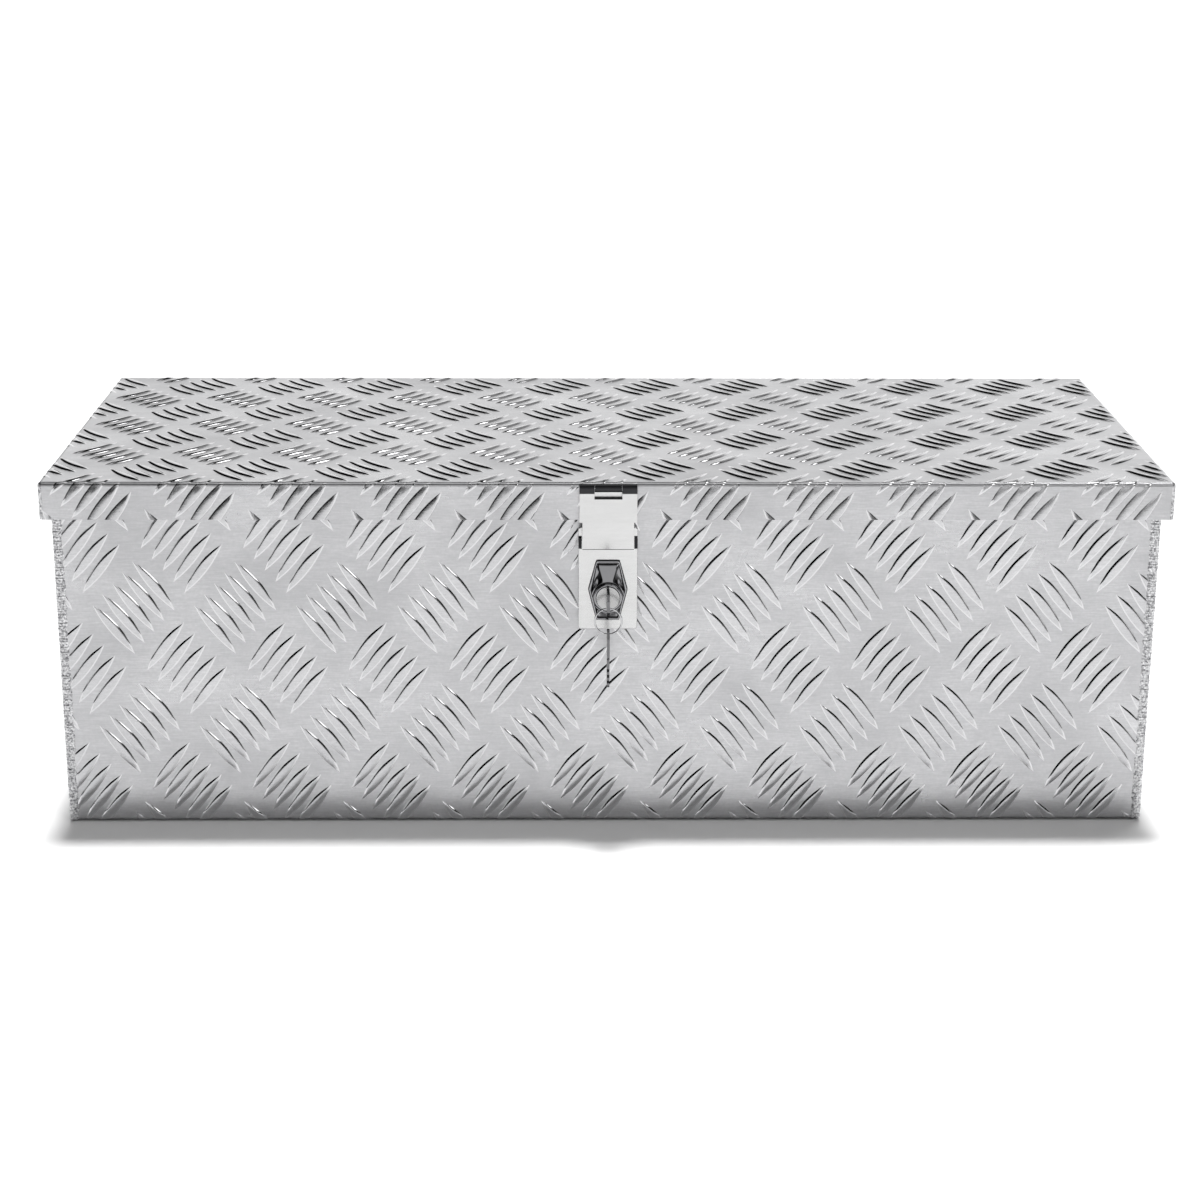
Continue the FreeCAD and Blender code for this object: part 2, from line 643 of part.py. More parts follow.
def lock():
    """The turning plug with its eccentric cam, the clip behind it and the sliding bolt."""
    core, size, face_depth = cell("plug_core"), cell("plug_size"), cell("plug_face")
    shoulder = BASE_FACE - 0.2
    head = rod("Y", 0, shoulder - face_depth, LOCK_Z, size, face_depth)
    tail = rod("Y", 0, shoulder - 0.5, LOCK_Z, core, cell("plug_tail_y") - shoulder + 0.5)
    keyway = block(-cell("key_sheet") / 2 - 0.1, cell("key_sheet") / 2 + 0.1,
                   shoulder - face_depth - 1, shoulder - face_depth + cell("key_blade") + 1,
                   LOCK_Z - cell("key_blade_half") - 0.15, LOCK_Z + cell("key_blade_half") + 0.15)
    finish(cut(fused([head, tail]), [keyway]), "lock_plug")

    throw = cell("cam_throw") * math.sqrt(0.5)
    cam_low, cam_depth = cell("bolt_y") - 0.5, cell("bolt_sheet") + 1
    cam_disc = rod("Y", -throw, cam_low, LOCK_Z + throw, cell("cam_size"), cam_depth)
    cam_bore = rod("Y", 0, cam_low - 1, LOCK_Z, core + 0.05, cam_depth + 2)
    finish(cut(cam_disc, [cam_bore]), "lock_cam")

    clip_low = -HALF_Y + SHEET + 0.4
    slot = cell("clip_slot_half")
    clip_disc = rod("Y", 0, clip_low, LOCK_Z, core + cell("clip_margin"), cell("clip_sheet"))
    clip_bore = rod("Y", 0, clip_low - 1, LOCK_Z, core + 0.05, cell("clip_sheet") + 2)
    clip_gap = block(-slot, slot, clip_low - 1, clip_low + 2, LOCK_Z - core * 2, LOCK_Z)
    finish(cut(clip_disc, [clip_bore, clip_gap]), "lock_clip")

    travel = throw * 2
    left, right = -cell("base_half") + 1.8, -cell("boss_x") + 5.0
    tab_side = -cell("tab_sheet") / 2 - travel - cell("tab_gap")
    cam_half = cell("cam_size") + 0.25
    frame_right = -throw + cam_half + 2.5
    low, high = cell("bolt_low_z"), cell("bolt_high_z")
    frame_low, frame_high = LOCK_Z - cell("bolt_frame_drop"), LOCK_Z + cell("bolt_frame_rise")
    nose_x, margin = cell("bolt_nose_x"), cell("bolt_nose_margin")
    nose_low, nose_high = cell("tab_bottom_z") + margin, cell("tab_top_z") - margin
    outline = [
        (left, low), (right, low), (right, frame_low), (frame_right, frame_low),
        (frame_right, frame_high), (right, frame_high), (right, high), (tab_side, high),
        (tab_side, nose_low), (nose_x, nose_low), (nose_x, nose_high), (left, nose_high),
    ]
    cam_window = rectangle(-throw - cam_half, -throw + cam_half,
                           LOCK_Z + throw - cam_half, LOCK_Z + cell("cam_throw") + cam_half)
    guide_half = cell("boss_size") + 0.25
    boss_x = -cell("boss_x")
    guides = [
        rectangle(boss_x - travel - guide_half, boss_x + guide_half, level - guide_half, level + guide_half)
        for level in (cell("boss_low_z"), cell("boss_high_z"))
    ]
    finish(plate("Y", cell("bolt_y"), cell("bolt_sheet"), outline, windows=[cam_window] + guides),
           "lock_bolt")


def key_outline(root, across, outward, blade):
    """A flat key's outline in its own plane: bow, neck and notched blade.

    Args:
        root: where the neck meets the bow, along the key.
        across: middle line of the key.
        outward: +1 or -1, the way from the blade to the bow.
        blade: length of the neck and blade together.
    """
    bow, half, blade_half = cell("bow_length"), cell("bow_half"), cell("key_blade_half")
    far = root + bow * outward
    tip = root - blade * outward
    notch = blade_half * 0.55
    side = [(far, half - 4), (far - outward * 4, half), (root + outward * 3, half), (root, blade_half)]
    teeth = []
    for step in range(3):
        begin = root - outward * (blade * 0.32 + step * blade * 0.2)
        teeth += [(begin, blade_half), (begin - outward * blade * 0.05, notch),
                  (begin - outward * blade * 0.1, blade_half)]
    point = [(tip + outward * 2, blade_half), (tip, notch * 0.4)]
    upper = [(u, across + v) for u, v in side + point]
    lower = [(u, across - v) for u, v in side + teeth + point]
    return upper + lower[::-1]


def keys():
    """The key in the plug, the spare key and the split ring that joins them."""
    thick, hole, wire = cell("key_sheet"), cell("bow_hole"), cell("ring_wire")
    face = BASE_FACE - 0.2 - cell("plug_face")
    blade = cell("key_blade")
    root = face - 0.6
    hole_y = root - cell("bow_length") + hole + 1.8
    finish(plate("X", -thick / 2, thick, key_outline(root, LOCK_Z, -1, blade),
                 circles=[(hole_y, LOCK_Z, hole)]), "key")

    size = cell("ring_size")
    ring_top = LOCK_Z - hole + 0.3 + wire
    ring = document.addObject("Part::Torus", "Ring")
    bind(ring, "Radius1", size)
    bind(ring, "Radius2", wire)
    ring.Placement = FreeCAD.Placement(FreeCAD.Vector(), TURN["Y"])
    bind_place(ring, Size.of(0), hole_y, ring_top - size)
    finish(ring, "key_ring")

    spare_hole_z = ring_top - size * 2 + wire + 0.3 - hole
    spare_root = spare_hole_z + hole + 1.8 - cell("bow_length")
    flat = key_outline(spare_root, hole_y, 1, blade)
    finish(plate("X", -thick / 2, thick, [(v, u) for u, v in flat],
                 circles=[(hole_y, spare_hole_z, hole)]), "spare_key")


def turned(y, z, angle):
    """A point in the hinge's frame after the lid opens by an angle in radians."""
    return (y * math.cos(angle) + z * math.sin(angle), z * math.cos(angle) - y * math.sin(angle))


def stay_ratio():
    """Turn of a stay against the lid for each unit of the lid's own turn."""
    full = math.radians(cell("stay_open_angle").value)
    pivot = (cell("stay_pivot_y").value, cell("stay_pivot_z").value)
    stud = (cell("stay_stud_y").value, cell("stay_stud_z").value)
    open_pivot = turned(*pivot, full)
    shut = (stud[0] - pivot[0], stud[1] - pivot[1])
    opened = turned(stud[0] - open_pivot[0], stud[1] - open_pivot[1], -full)
    return (math.atan2(opened[1], opened[0]) - math.atan2(shut[1], shut[0])) / full


def stay_track(steps):
    """The stud's path in the shut stay's own frame, from its pivot, as the lid opens."""
    full = math.radians(cell("stay_open_angle").value)
    pivot = (cell("stay_pivot_y").value, cell("stay_pivot_z").value)
    stud = (cell("stay_stud_y").value, cell("stay_stud_z").value)
    ratio = stay_ratio()
    path = []
    for step in range(steps + 1):
        angle = full * step / steps
        at = turned(*pivot, angle)
        path.append(turned(stud[0] - at[0], stud[1] - at[1], -angle * (1 - ratio)))
    return path


def band(path, half, low_x, thickness):
    """A plate of even width with round ends along a smooth path in the YZ plane."""
    points = [FreeCAD.Vector(low_x, y, z) for y, z in path]
    sides = ([], [])
    for index, point in enumerate(points):
        ahead = points[min(index + 1, len(points) - 1)]
        behind = points[max(index - 1, 0)]
        run = (ahead - behind).normalize()
        across = FreeCAD.Vector(0, -run.z, run.y) * half
        sides[0].append(point + across)
        sides[1].append(point - across)
    curves = []
    for side in sides:
        curve = Part.BSplineCurve()
        curve.interpolate(side)
        curves.append(curve.toShape())
    first_run = (points[1] - points[0]).normalize() * half
    last_run = (points[-1] - points[-2]).normalize() * half
    caps = [
        Part.Arc(sides[0][0], points[0] - first_run, sides[1][0]).toShape(),
        Part.Arc(sides[0][-1], points[-1] + last_run, sides[1][-1]).toShape(),
    ]
    wire = Part.Wire(Part.__sortEdges__(curves + caps))
    return Part.Face(wire).extrude(FreeCAD.Vector(thickness, 0, 0))


def lid_stays():
    """Slotted stays that hang from the lid and ride on studs in the end plates."""
    plane, thick, half = cell("stay_plane_x"), cell("stay_sheet"), cell("stay_half")
    stud, slack = cell("stay_stud"), cell("stay_clearance")
    pivot_y, pivot_z = AXIS_Y + cell("stay_pivot_y"), AXIS_Z + cell("stay_pivot_z")
    stud_y, stud_z = AXIS_Y + cell("stay_stud_y"), AXIS_Z + cell("stay_stud_z")
    track = stay_track(24)
    pin = cell("stay_stud") - 0.4
    for side, word in ((-1, "left"), (1, "right")):
        low_x = (plane - thick).value if side > 0 else -plane.value
        arm = band([(0.0, 0.0)] + track, half.value, low_x, thick.value)
        arm = arm.cut(band(track, (stud + slack).value, low_x - 1, thick.value + 2))
        eye = Part.makeCylinder((pin + 0.05).value, thick.value + 2,
                                FreeCAD.Vector(low_x - 1, 0, 0), FreeCAD.Vector(1, 0, 0))
        stay = document.addObject("Part::Feature", "Stay")
        stay.Shape = arm.cut(eye)
        stay.Placement = FreeCAD.Placement(
            FreeCAD.Vector(0, pivot_y.value, pivot_z.value), FreeCAD.Rotation()
        )
        finish(stay, f"lid_stay_{word}")

        def across(near, far, y, z, radius):
            """A rod between two distances from the box's middle plane."""
            near, far = Size.of(near), Size.of(far)
            start = near if side > 0 else -far
            return rod("X", start, y, z, radius, far - near)

        inner_wall = HALF_X - SHEET
        post = across(plane + 0.4, inner_wall, stud_y, stud_z, stud * 1.7)
        neck = across(plane - thick - 0.4, plane + 0.4, stud_y, stud_z, stud)
        button = across(plane - thick - 1.9, plane - thick - 0.4, stud_y, stud_z, stud * 2)
        tail = across(inner_wall, HALF_X, stud_y, stud_z, stud)
        upset = across(HALF_X, HALF_X + 1.2, stud_y, stud_z, stud * 1.6)
        finish(fused([post, neck, button, tail, upset]), f"stay_stud_{word}")

        ear_near, ear_far = plane + 0.4, plane + 0.4 + SHEET
        ear_low = -ear_far if side < 0 else ear_near
        ear = plate("X", ear_low, SHEET, [
            (pivot_y - 12, LID_UNDER), (pivot_y - 8, pivot_z - 7), (pivot_y + 8, pivot_z - 7),
            (pivot_y + 12, LID_UNDER),
        ], circles=[(pivot_y, pivot_z, pin + 0.05)])
        foot = block(side * (plane - 16), side * ear_far, pivot_y - 12, pivot_y + 12,
                     LID_UNDER - 1.5, LID_UNDER)
        finish(fused([ear, foot]), f"stay_bracket_{word}")

        shank = across(plane - thick - 0.4, ear_far + 0.1, pivot_y, pivot_z, pin)
        inner_head = across(plane - thick - 1.6, plane - thick - 0.4, pivot_y, pivot_z, pin * 1.8)
        outer_head = across(ear_far + 0.1, ear_far + 1.1, pivot_y, pivot_z, pin * 1.6)
        finish(fused([shank, inner_head, outer_head]), f"stay_pivot_{word}")


def check_and_export():
    """Stops on any failed object, then writes each sub-part to its own file."""
    document.recompute()
    for obj in document.Objects:
        bad = [state for state in obj.State if state in ("Invalid", "Error")]
        if bad:
            raise RuntimeError(f"{obj.Name} ({obj.Label}) is {bad}")
    os.makedirs("parts", exist_ok=True)
    for obj in subparts:
        shape = obj.Shape
        if shape.isNull() or not shape.isValid() or not shape.Solids:
            raise RuntimeError(f"{obj.Label} has no valid solid")
        shape.exportStep(f"parts/{obj.Label}.step")
        print(f"{obj.Label}: {len(shape.Solids)} solid(s), {shape.Volume:.0f} mm3")


box_body()
rim_seal()
lid()
hinge()
latch_hinge_side()
latch_flap()
latch_base()
lock()
keys()
lid_stays()
check_and_export()
print(f"stay ratio {stay_ratio():.6f}")
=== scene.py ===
import sys

import json
import logging
import math
from collections.abc import Callable, Iterable, Sequence
from dataclasses import dataclass, field
from enum import Enum

import bmesh
import bpy
import numpy as np
from mathutils import Matrix, Vector
from mathutils.geometry import delaunay_2d_cdt

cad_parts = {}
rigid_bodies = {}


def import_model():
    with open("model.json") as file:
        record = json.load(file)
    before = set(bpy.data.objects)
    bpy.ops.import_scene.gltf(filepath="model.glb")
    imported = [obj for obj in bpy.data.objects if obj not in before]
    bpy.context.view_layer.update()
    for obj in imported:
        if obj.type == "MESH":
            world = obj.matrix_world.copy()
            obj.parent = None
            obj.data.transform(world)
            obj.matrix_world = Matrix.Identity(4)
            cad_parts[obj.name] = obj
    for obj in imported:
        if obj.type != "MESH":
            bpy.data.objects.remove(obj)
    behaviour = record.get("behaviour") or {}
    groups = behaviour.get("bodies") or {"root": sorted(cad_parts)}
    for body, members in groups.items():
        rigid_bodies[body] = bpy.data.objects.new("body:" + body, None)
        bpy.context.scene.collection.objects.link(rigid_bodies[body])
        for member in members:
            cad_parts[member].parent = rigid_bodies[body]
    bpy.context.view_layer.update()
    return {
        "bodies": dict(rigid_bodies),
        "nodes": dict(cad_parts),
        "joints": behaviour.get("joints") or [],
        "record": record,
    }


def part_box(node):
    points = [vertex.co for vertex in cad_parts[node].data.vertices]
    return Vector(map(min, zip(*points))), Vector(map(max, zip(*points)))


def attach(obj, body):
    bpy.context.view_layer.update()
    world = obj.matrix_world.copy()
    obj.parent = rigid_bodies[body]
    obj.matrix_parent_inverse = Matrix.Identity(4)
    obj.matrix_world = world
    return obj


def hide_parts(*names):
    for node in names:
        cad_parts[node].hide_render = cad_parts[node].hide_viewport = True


LOG = logging.getLogger("truck_tool_box")
MM = 0.001
QUARTER = math.pi / 2
Place = Callable[[np.ndarray, np.ndarray, np.ndarray], np.ndarray]


# ------------------------------------------------------------------ finishes
class Tree:
    """A short way to lay out one material's nodes."""

    def __init__(self, name: str) -> None:
        """Starts an empty material with a principled shader.

        Args:
            name: the material's name.
        """
        self.material = bpy.data.materials.new(name)
        self.material.use_nodes = True
        self.nodes = self.material.node_tree.nodes
        self.links = self.material.node_tree.links
        self.shader = self.nodes["Principled BSDF"]
        coordinates = self.nodes.new("ShaderNodeTexCoord")
        self.place = coordinates.outputs["Object"]

    def link(self, source: bpy.types.NodeSocket, target: bpy.types.NodeSocket) -> None:
        """Joins two sockets."""
        self.links.new(source, target)

    def noise(self, stretch: Sequence[float], scale: float, detail: float, rough: float = 0.5
              ) -> bpy.types.NodeSocket:
        """Adds stretched noise.

        Args:
            stretch: scale along X, Y and Z before the noise is read.
            scale: how fine the noise is.
            detail: octaves of the noise.
            rough: weight of the finer octaves.

        Returns:
            The noise value's socket.
        """
        mapping = self.nodes.new("ShaderNodeMapping")
        mapping.inputs["Scale"].default_value = stretch
        self.link(self.place, mapping.inputs["Vector"])
        texture = self.nodes.new("ShaderNodeTexNoise")
        texture.inputs["Scale"].default_value = scale
        texture.inputs["Detail"].default_value = detail
        texture.inputs["Roughness"].default_value = rough
        self.link(mapping.outputs["Vector"], texture.inputs["Vector"])
        return texture.outputs["Fac"]

    def pits(self, scale: float, size: float) -> bpy.types.NodeSocket:
        """Adds sparse round specks.

        Args:
            scale: how close the specks stand.
            size: radius of a speck as a share of its cell.

        Returns:
            A socket that is 1 inside a speck and 0 outside.
        """
        texture = self.nodes.new("ShaderNodeTexVoronoi")
        texture.inputs["Scale"].default_value = scale
        self.link(self.place, texture.inputs["Vector"])
        return self.ramp(texture.outputs["Distance"], [(0.0, 1.0), (size, 0.0)])

    def ramp(self, source: bpy.types.NodeSocket, stops: Sequence[tuple[float, float]]
             ) -> bpy.types.NodeSocket:
        """Maps a value through a few stops.

        Args:
            source: the value to map.
            stops: (place, value) pairs in rising order.

        Returns:
            The mapped value's socket.
        """
        node = self.nodes.new("ShaderNodeValToRGB")
        elements = node.color_ramp.elements
        while len(elements) < len(stops):
            elements.new(0.5)
        for element, (place, value) in zip(elements, stops):
            element.position = place
            element.color = (value, value, value, 1.0)
        self.link(source, node.inputs["Fac"])
        return node.outputs["Color"]

    def blend(self, factor: bpy.types.NodeSocket, first: Sequence[float], second: Sequence[float]
              ) -> bpy.types.NodeSocket:
        """Mixes two colours.

        Args:
            factor: the second colour's share, from 0 to 1.
            first: the colour at 0.
            second: the colour at 1.

        Returns:
            The mixed colour's socket.
        """
        node = self.nodes.new("ShaderNodeMix")
        node.data_type = "RGBA"
        colours = [socket for socket in node.inputs if socket.type == "RGBA"]
        colours[0].default_value = (*first, 1.0)
        colours[1].default_value = (*second, 1.0)
        self.link(factor, node.inputs["Factor"])
        return next(socket for socket in node.outputs if socket.type == "RGBA")

    def multiply(self, first: bpy.types.NodeSocket, second: bpy.types.NodeSocket
                 ) -> bpy.types.NodeSocket:
        """Multiplies two values.

        Args:
            first: one value.
            second: the other value.

        Returns:
            The product's socket.
        """
        node = self.nodes.new("ShaderNodeMath")
        node.operation = "MULTIPLY"
        self.link(first, node.inputs[0])
        self.link(second, node.inputs[1])
        return node.outputs[0]

    def bump(self, layers: Iterable[tuple[bpy.types.NodeSocket, float, float]]) -> None:
        """Stacks bump layers on the shader's normal.

        Args:
            layers: (height, strength, distance in metres) for each layer.
        """
        previous = None
        for height, strength, distance in layers:
            node = self.nodes.new("ShaderNodeBump")
            node.inputs["Strength"].default_value = strength
            node.inputs["Distance"].default_value = distance
            self.link(height, node.inputs["Height"])
            if previous is not None:
                self.link(previous, node.inputs["Normal"])
            previous = node.outputs["Normal"]
        self.link(previous, self.shader.inputs["Normal"])


class Grain(Enum):
    """Which way the rolling marks run, as the stretch across each axis."""

    ALONG_X = (0.09, 1.0, 1.0)
    ALONG_Y = (1.0, 0.09, 1.0)


@dataclass(frozen=True)
class RolledMetal:
    """Mill-finish sheet: rolling marks one way, soft smudges and small specks.

    Above one height the colour can turn near black, as on a rolled knuckle; below another height a near-black
    band is painted shadow, the shade under a flap's foot.
    """

    name: str
    light: tuple[float, float, float]
    dark: tuple[float, float, float]
    rough: tuple[float, float]
    grain: Grain = Grain.ALONG_X
    mark: float = 0.25
    speck: float = 0.5
    # the first height turns the colour near black above it; the second paints a shadow below it
    dark_above: float | None = None
    painted_shadow_below: float | None = None
    bare: float = 1.0

    def build(self) -> bpy.types.Material:
        """Returns the finish as a material."""
        tree = Tree(self.name)
        tree.shader.inputs["Metallic"].default_value = self.bare
        smudge = tree.noise((1.0, 1.3, 1.3), 11.0, 6.0, 0.62)
        streak = tree.noise(self.grain.value, 1000.0, 3.0, 0.65)
        broad = tree.noise(self.grain.value, 260.0, 4.0, 0.6)
        mottle = tree.noise((1.0, 1.0, 1.0), 600.0, 2.0, 0.5)
        specks = tree.pits(150.0, 0.05)
        tone = tree.multiply(tree.ramp(smudge, [(0.30, 0.40), (0.70, 1.0)]),
                             tree.ramp(streak, [(0.28, 0.35), (0.72, 1.0)]))
        tone = tree.multiply(tone, tree.ramp(broad, [(0.30, 0.70), (0.70, 1.0)]))
        tone = tree.multiply(tone, tree.ramp(mottle, [(0.30, 0.70), (0.70, 1.0)]))
        colour = tree.blend(tone, self.dark, self.light)
        colour = self.darken_and_paint_shadow(tree, colour)
        tree.link(colour, tree.shader.inputs["Base Color"])
        low, high = self.rough
        tree.link(tree.ramp(smudge, [(0.25, high), (0.75, low)]), tree.shader.inputs["Roughness"])
        tree.bump([(streak, self.mark, 0.00008), (broad, self.mark, 0.0002),
                   (specks, self.speck, -0.0004)])
        return tree.material

    def darken_and_paint_shadow(self, tree: Tree, colour: bpy.types.NodeSocket) -> bpy.types.NodeSocket:
        """Darkens the colour to near black above the finish's first height, and paints shadow below its
        second height.

        Args:
            tree: the material's nodes.
            colour: the colour so far.

        Returns:
            The darkened colour's socket.
        """
        for limit, sign in ((self.dark_above, 1.0), (self.painted_shadow_below, -1.0)):
            if limit is None:
                continue
            split = tree.nodes.new("ShaderNodeSeparateXYZ")
            tree.link(tree.place, split.inputs[0])
            spread = tree.nodes.new("ShaderNodeMapRange")
            spread.inputs["From Min"].default_value = limit
            spread.inputs["From Max"].default_value = limit + sign * 0.0003
            tree.link(split.outputs["Z"], spread.inputs["Value"])
            mix = tree.nodes.new("ShaderNodeMix")
            mix.data_type = "RGBA"
            colours = [socket for socket in mix.inputs if socket.type == "RGBA"]
            # near black for both bands; below the flap's foot this is painted shadow
            colours[1].default_value = (0.035, 0.035, 0.037, 1.0)
            tree.link(colour, colours[0])
            tree.link(spread.outputs["Result"], mix.inputs["Factor"])
            colour = next(item for item in mix.outputs if item.type == "RGBA")
        return colour


@dataclass(frozen=True)
class PolishedMetal:
    """Bright plated or burnished metal with a slight waviness."""

    name: str
    colour: tuple[float, float, float]
    roughness: float
    wave: float = 0.05

    def build(self) -> bpy.types.Material:
        """Returns the finish as a material."""
        tree = Tree(self.name)
        tree.shader.inputs["Metallic"].default_value = 1.0
        tree.shader.inputs["Roughness"].default_value = self.roughness
        film = tree.noise((1.0, 1.0, 1.0), 160.0, 3.0)
        worn = tuple(part * 0.88 for part in self.colour)
        tree.link(tree.blend(film, worn, self.colour), tree.shader.inputs["Base Color"])
        tree.bump([(film, self.wave, 0.0001)])
        return tree.material


@dataclass(frozen=True)
class WeldMetal:
    """Dull cast skin of a weld bead with soot and pits."""

    name: str
    light: tuple[float, float, float]
    dark: tuple[float, float, float]

    def build(self) -> bpy.types.Material:
        """Returns the finish as a material."""
        tree = Tree(self.name)
        tree.shader.inputs["Metallic"].default_value = 1.0
        tree.shader.inputs["Roughness"].default_value = 0.38
        skin = tree.noise((1.0, 1.0, 1.0), 700.0, 4.0, 0.7)
        specks = tree.pits(420.0, 0.22)
        soot = tree.ramp(skin, [(0.35, 0.0), (0.6, 1.0)])
        tree.link(tree.blend(soot, self.dark, self.light), tree.shader.inputs["Base Color"])
        tree.bump([(skin, 0.6, 0.0003), (specks, 0.8, -0.0006)])
        return tree.material


@dataclass(frozen=True)
class MattBlack:
    """Matt black sponge rubber; on the lock housing's groove floors the same black is painted shade."""

    name: str
    colour: tuple[float, float, float]

    def build(self) -> bpy.types.Material:
        """Returns the finish as a material."""
        tree = Tree(self.name)
        tree.shader.inputs["Roughness"].default_value = 0.75
        pores = tree.noise((1.0, 1.0, 1.0), 900.0, 3.0)
        dusty = tuple(part * 1.8 for part in self.colour)
        tree.link(tree.blend(pores, self.colour, dusty), tree.shader.inputs["Base Color"])
        tree.bump([(pores, 0.25, 0.0002)])
        return tree.material


class Finish(Enum):
    """Every finish on the tool box."""

    GROUND = RolledMetal("mill_ground", (0.62, 0.62, 0.63), (0.36, 0.36, 0.37), (0.24, 0.36))
    BAR_TOP = RolledMetal("mill_bar_top", (0.64, 0.64, 0.65), (0.40, 0.40, 0.41), (0.18, 0.28))
    FLANK = PolishedMetal("bar_flank", (0.62, 0.62, 0.63), 0.10, 0.08)
    END_GROUND = RolledMetal("mill_end_ground", (0.68, 0.68, 0.69), (0.42, 0.42, 0.43), (0.24, 0.36),
                             Grain.ALONG_Y)
    END_BAR_TOP = RolledMetal("mill_end_bar_top", (0.70, 0.70, 0.71), (0.45, 0.45, 0.46),
                              (0.20, 0.30), Grain.ALONG_Y)
    INSIDE = RolledMetal("mill_inside", (0.66, 0.66, 0.67), (0.42, 0.42, 0.43), (0.40, 0.52), bare=0.45)
    WELD = WeldMetal("weld_bead", (0.74, 0.74, 0.75), (0.12, 0.12, 0.13))
    SATIN = RolledMetal("satin_base", (0.66, 0.66, 0.66), (0.52, 0.52, 0.52), (0.20, 0.26),
                        Grain.ALONG_X, 0.06, 0.1)
    # flap: near black above z 0.2387 m on its knuckle; below z 0.1990 m a painted shadow line at its foot
    FLAP = RolledMetal("satin_flap", (0.62, 0.62, 0.62), (0.51, 0.51, 0.51), (0.18, 0.24),
                       Grain.ALONG_X, 0.06, 0.1, 0.2387, 0.1990)
    # leaf: near black above z 0.2387 m on its knuckle
    LEAF = RolledMetal("satin_leaf", (0.62, 0.62, 0.62), (0.51, 0.51, 0.51), (0.18, 0.24),
                       Grain.ALONG_X, 0.06, 0.1, 0.2387)
    PLUG = PolishedMetal("plug_nickel", (0.42, 0.42, 0.42), 0.20, 0.08)
    CHROME = PolishedMetal("lock_chrome", (0.30, 0.30, 0.31), 0.05, 0.03)
    # near black: painted shade on the base's shoulders beside the flap's foot
    SHADOWED = PolishedMetal("painted_shade_steel", (0.03, 0.03, 0.032), 0.25, 0.05)
    KEY = PolishedMetal("key_steel", (0.16, 0.16, 0.165), 0.22, 0.06)
    RING = PolishedMetal("ring_nickel", (0.50, 0.50, 0.51), 0.12, 0.06)
    ZINC = RolledMetal("zinc_plate", (0.70, 0.71, 0.72), (0.56, 0.57, 0.59), (0.30, 0.45),
                       Grain.ALONG_X, 0.08, 0.3)
    HINGE = RolledMetal("hinge_leaf", (0.58, 0.58, 0.58), (0.48, 0.48, 0.48), (0.28, 0.40),
                        Grain.ALONG_X, 0.10, 0.2)
    RIVET = PolishedMetal("rivet_head", (0.78, 0.78, 0.79), 0.28, 0.06)
    # black: the rubber seal, and painted shade on the lock housing's groove floors
    RUBBER_AND_SHADE = MattBlack("seal_rubber", (0.018, 0.018, 0.019))


class Paints:
    """Builds each finish once and dresses objects with it."""

    def __init__(self) -> None:
        """Starts with nothing built."""
        self.built: dict[Finish, bpy.types.Material] = {}

    def get(self, finish: Finish) -> bpy.types.Material:
        """Returns the finish's material, built on first use."""
        if finish not in self.built:
            self.built[finish] = finish.value.build()
        return self.built[finish]

    def dress(self, obj: bpy.types.Object, *finishes: Finish) -> None:
        """Gives an object its finishes, one for each material slot.

        Args:
            obj: the object to dress.
            finishes: one finish per slot, the last repeated if there are more slots.
        """
        while len(obj.data.materials) < len(finishes):
            obj.data.materials.append(None)
        for index, slot in enumerate(obj.material_slots):
            slot.material = self.get(finishes[min(index, len(finishes) - 1)])


# ------------------------------------------------------------------ tread plate
class Lean(Enum):
    """Which way the bars of one group lie, with the turn of the group's stack."""

    RISING = (52.0, -48.5)
    FALLING = (-52.0, 47.5)


@dataclass(frozen=True)
class Bar:
    """One raised bar: its middle and the direction that it lies along."""

    u: float
    w: float
    angle: float


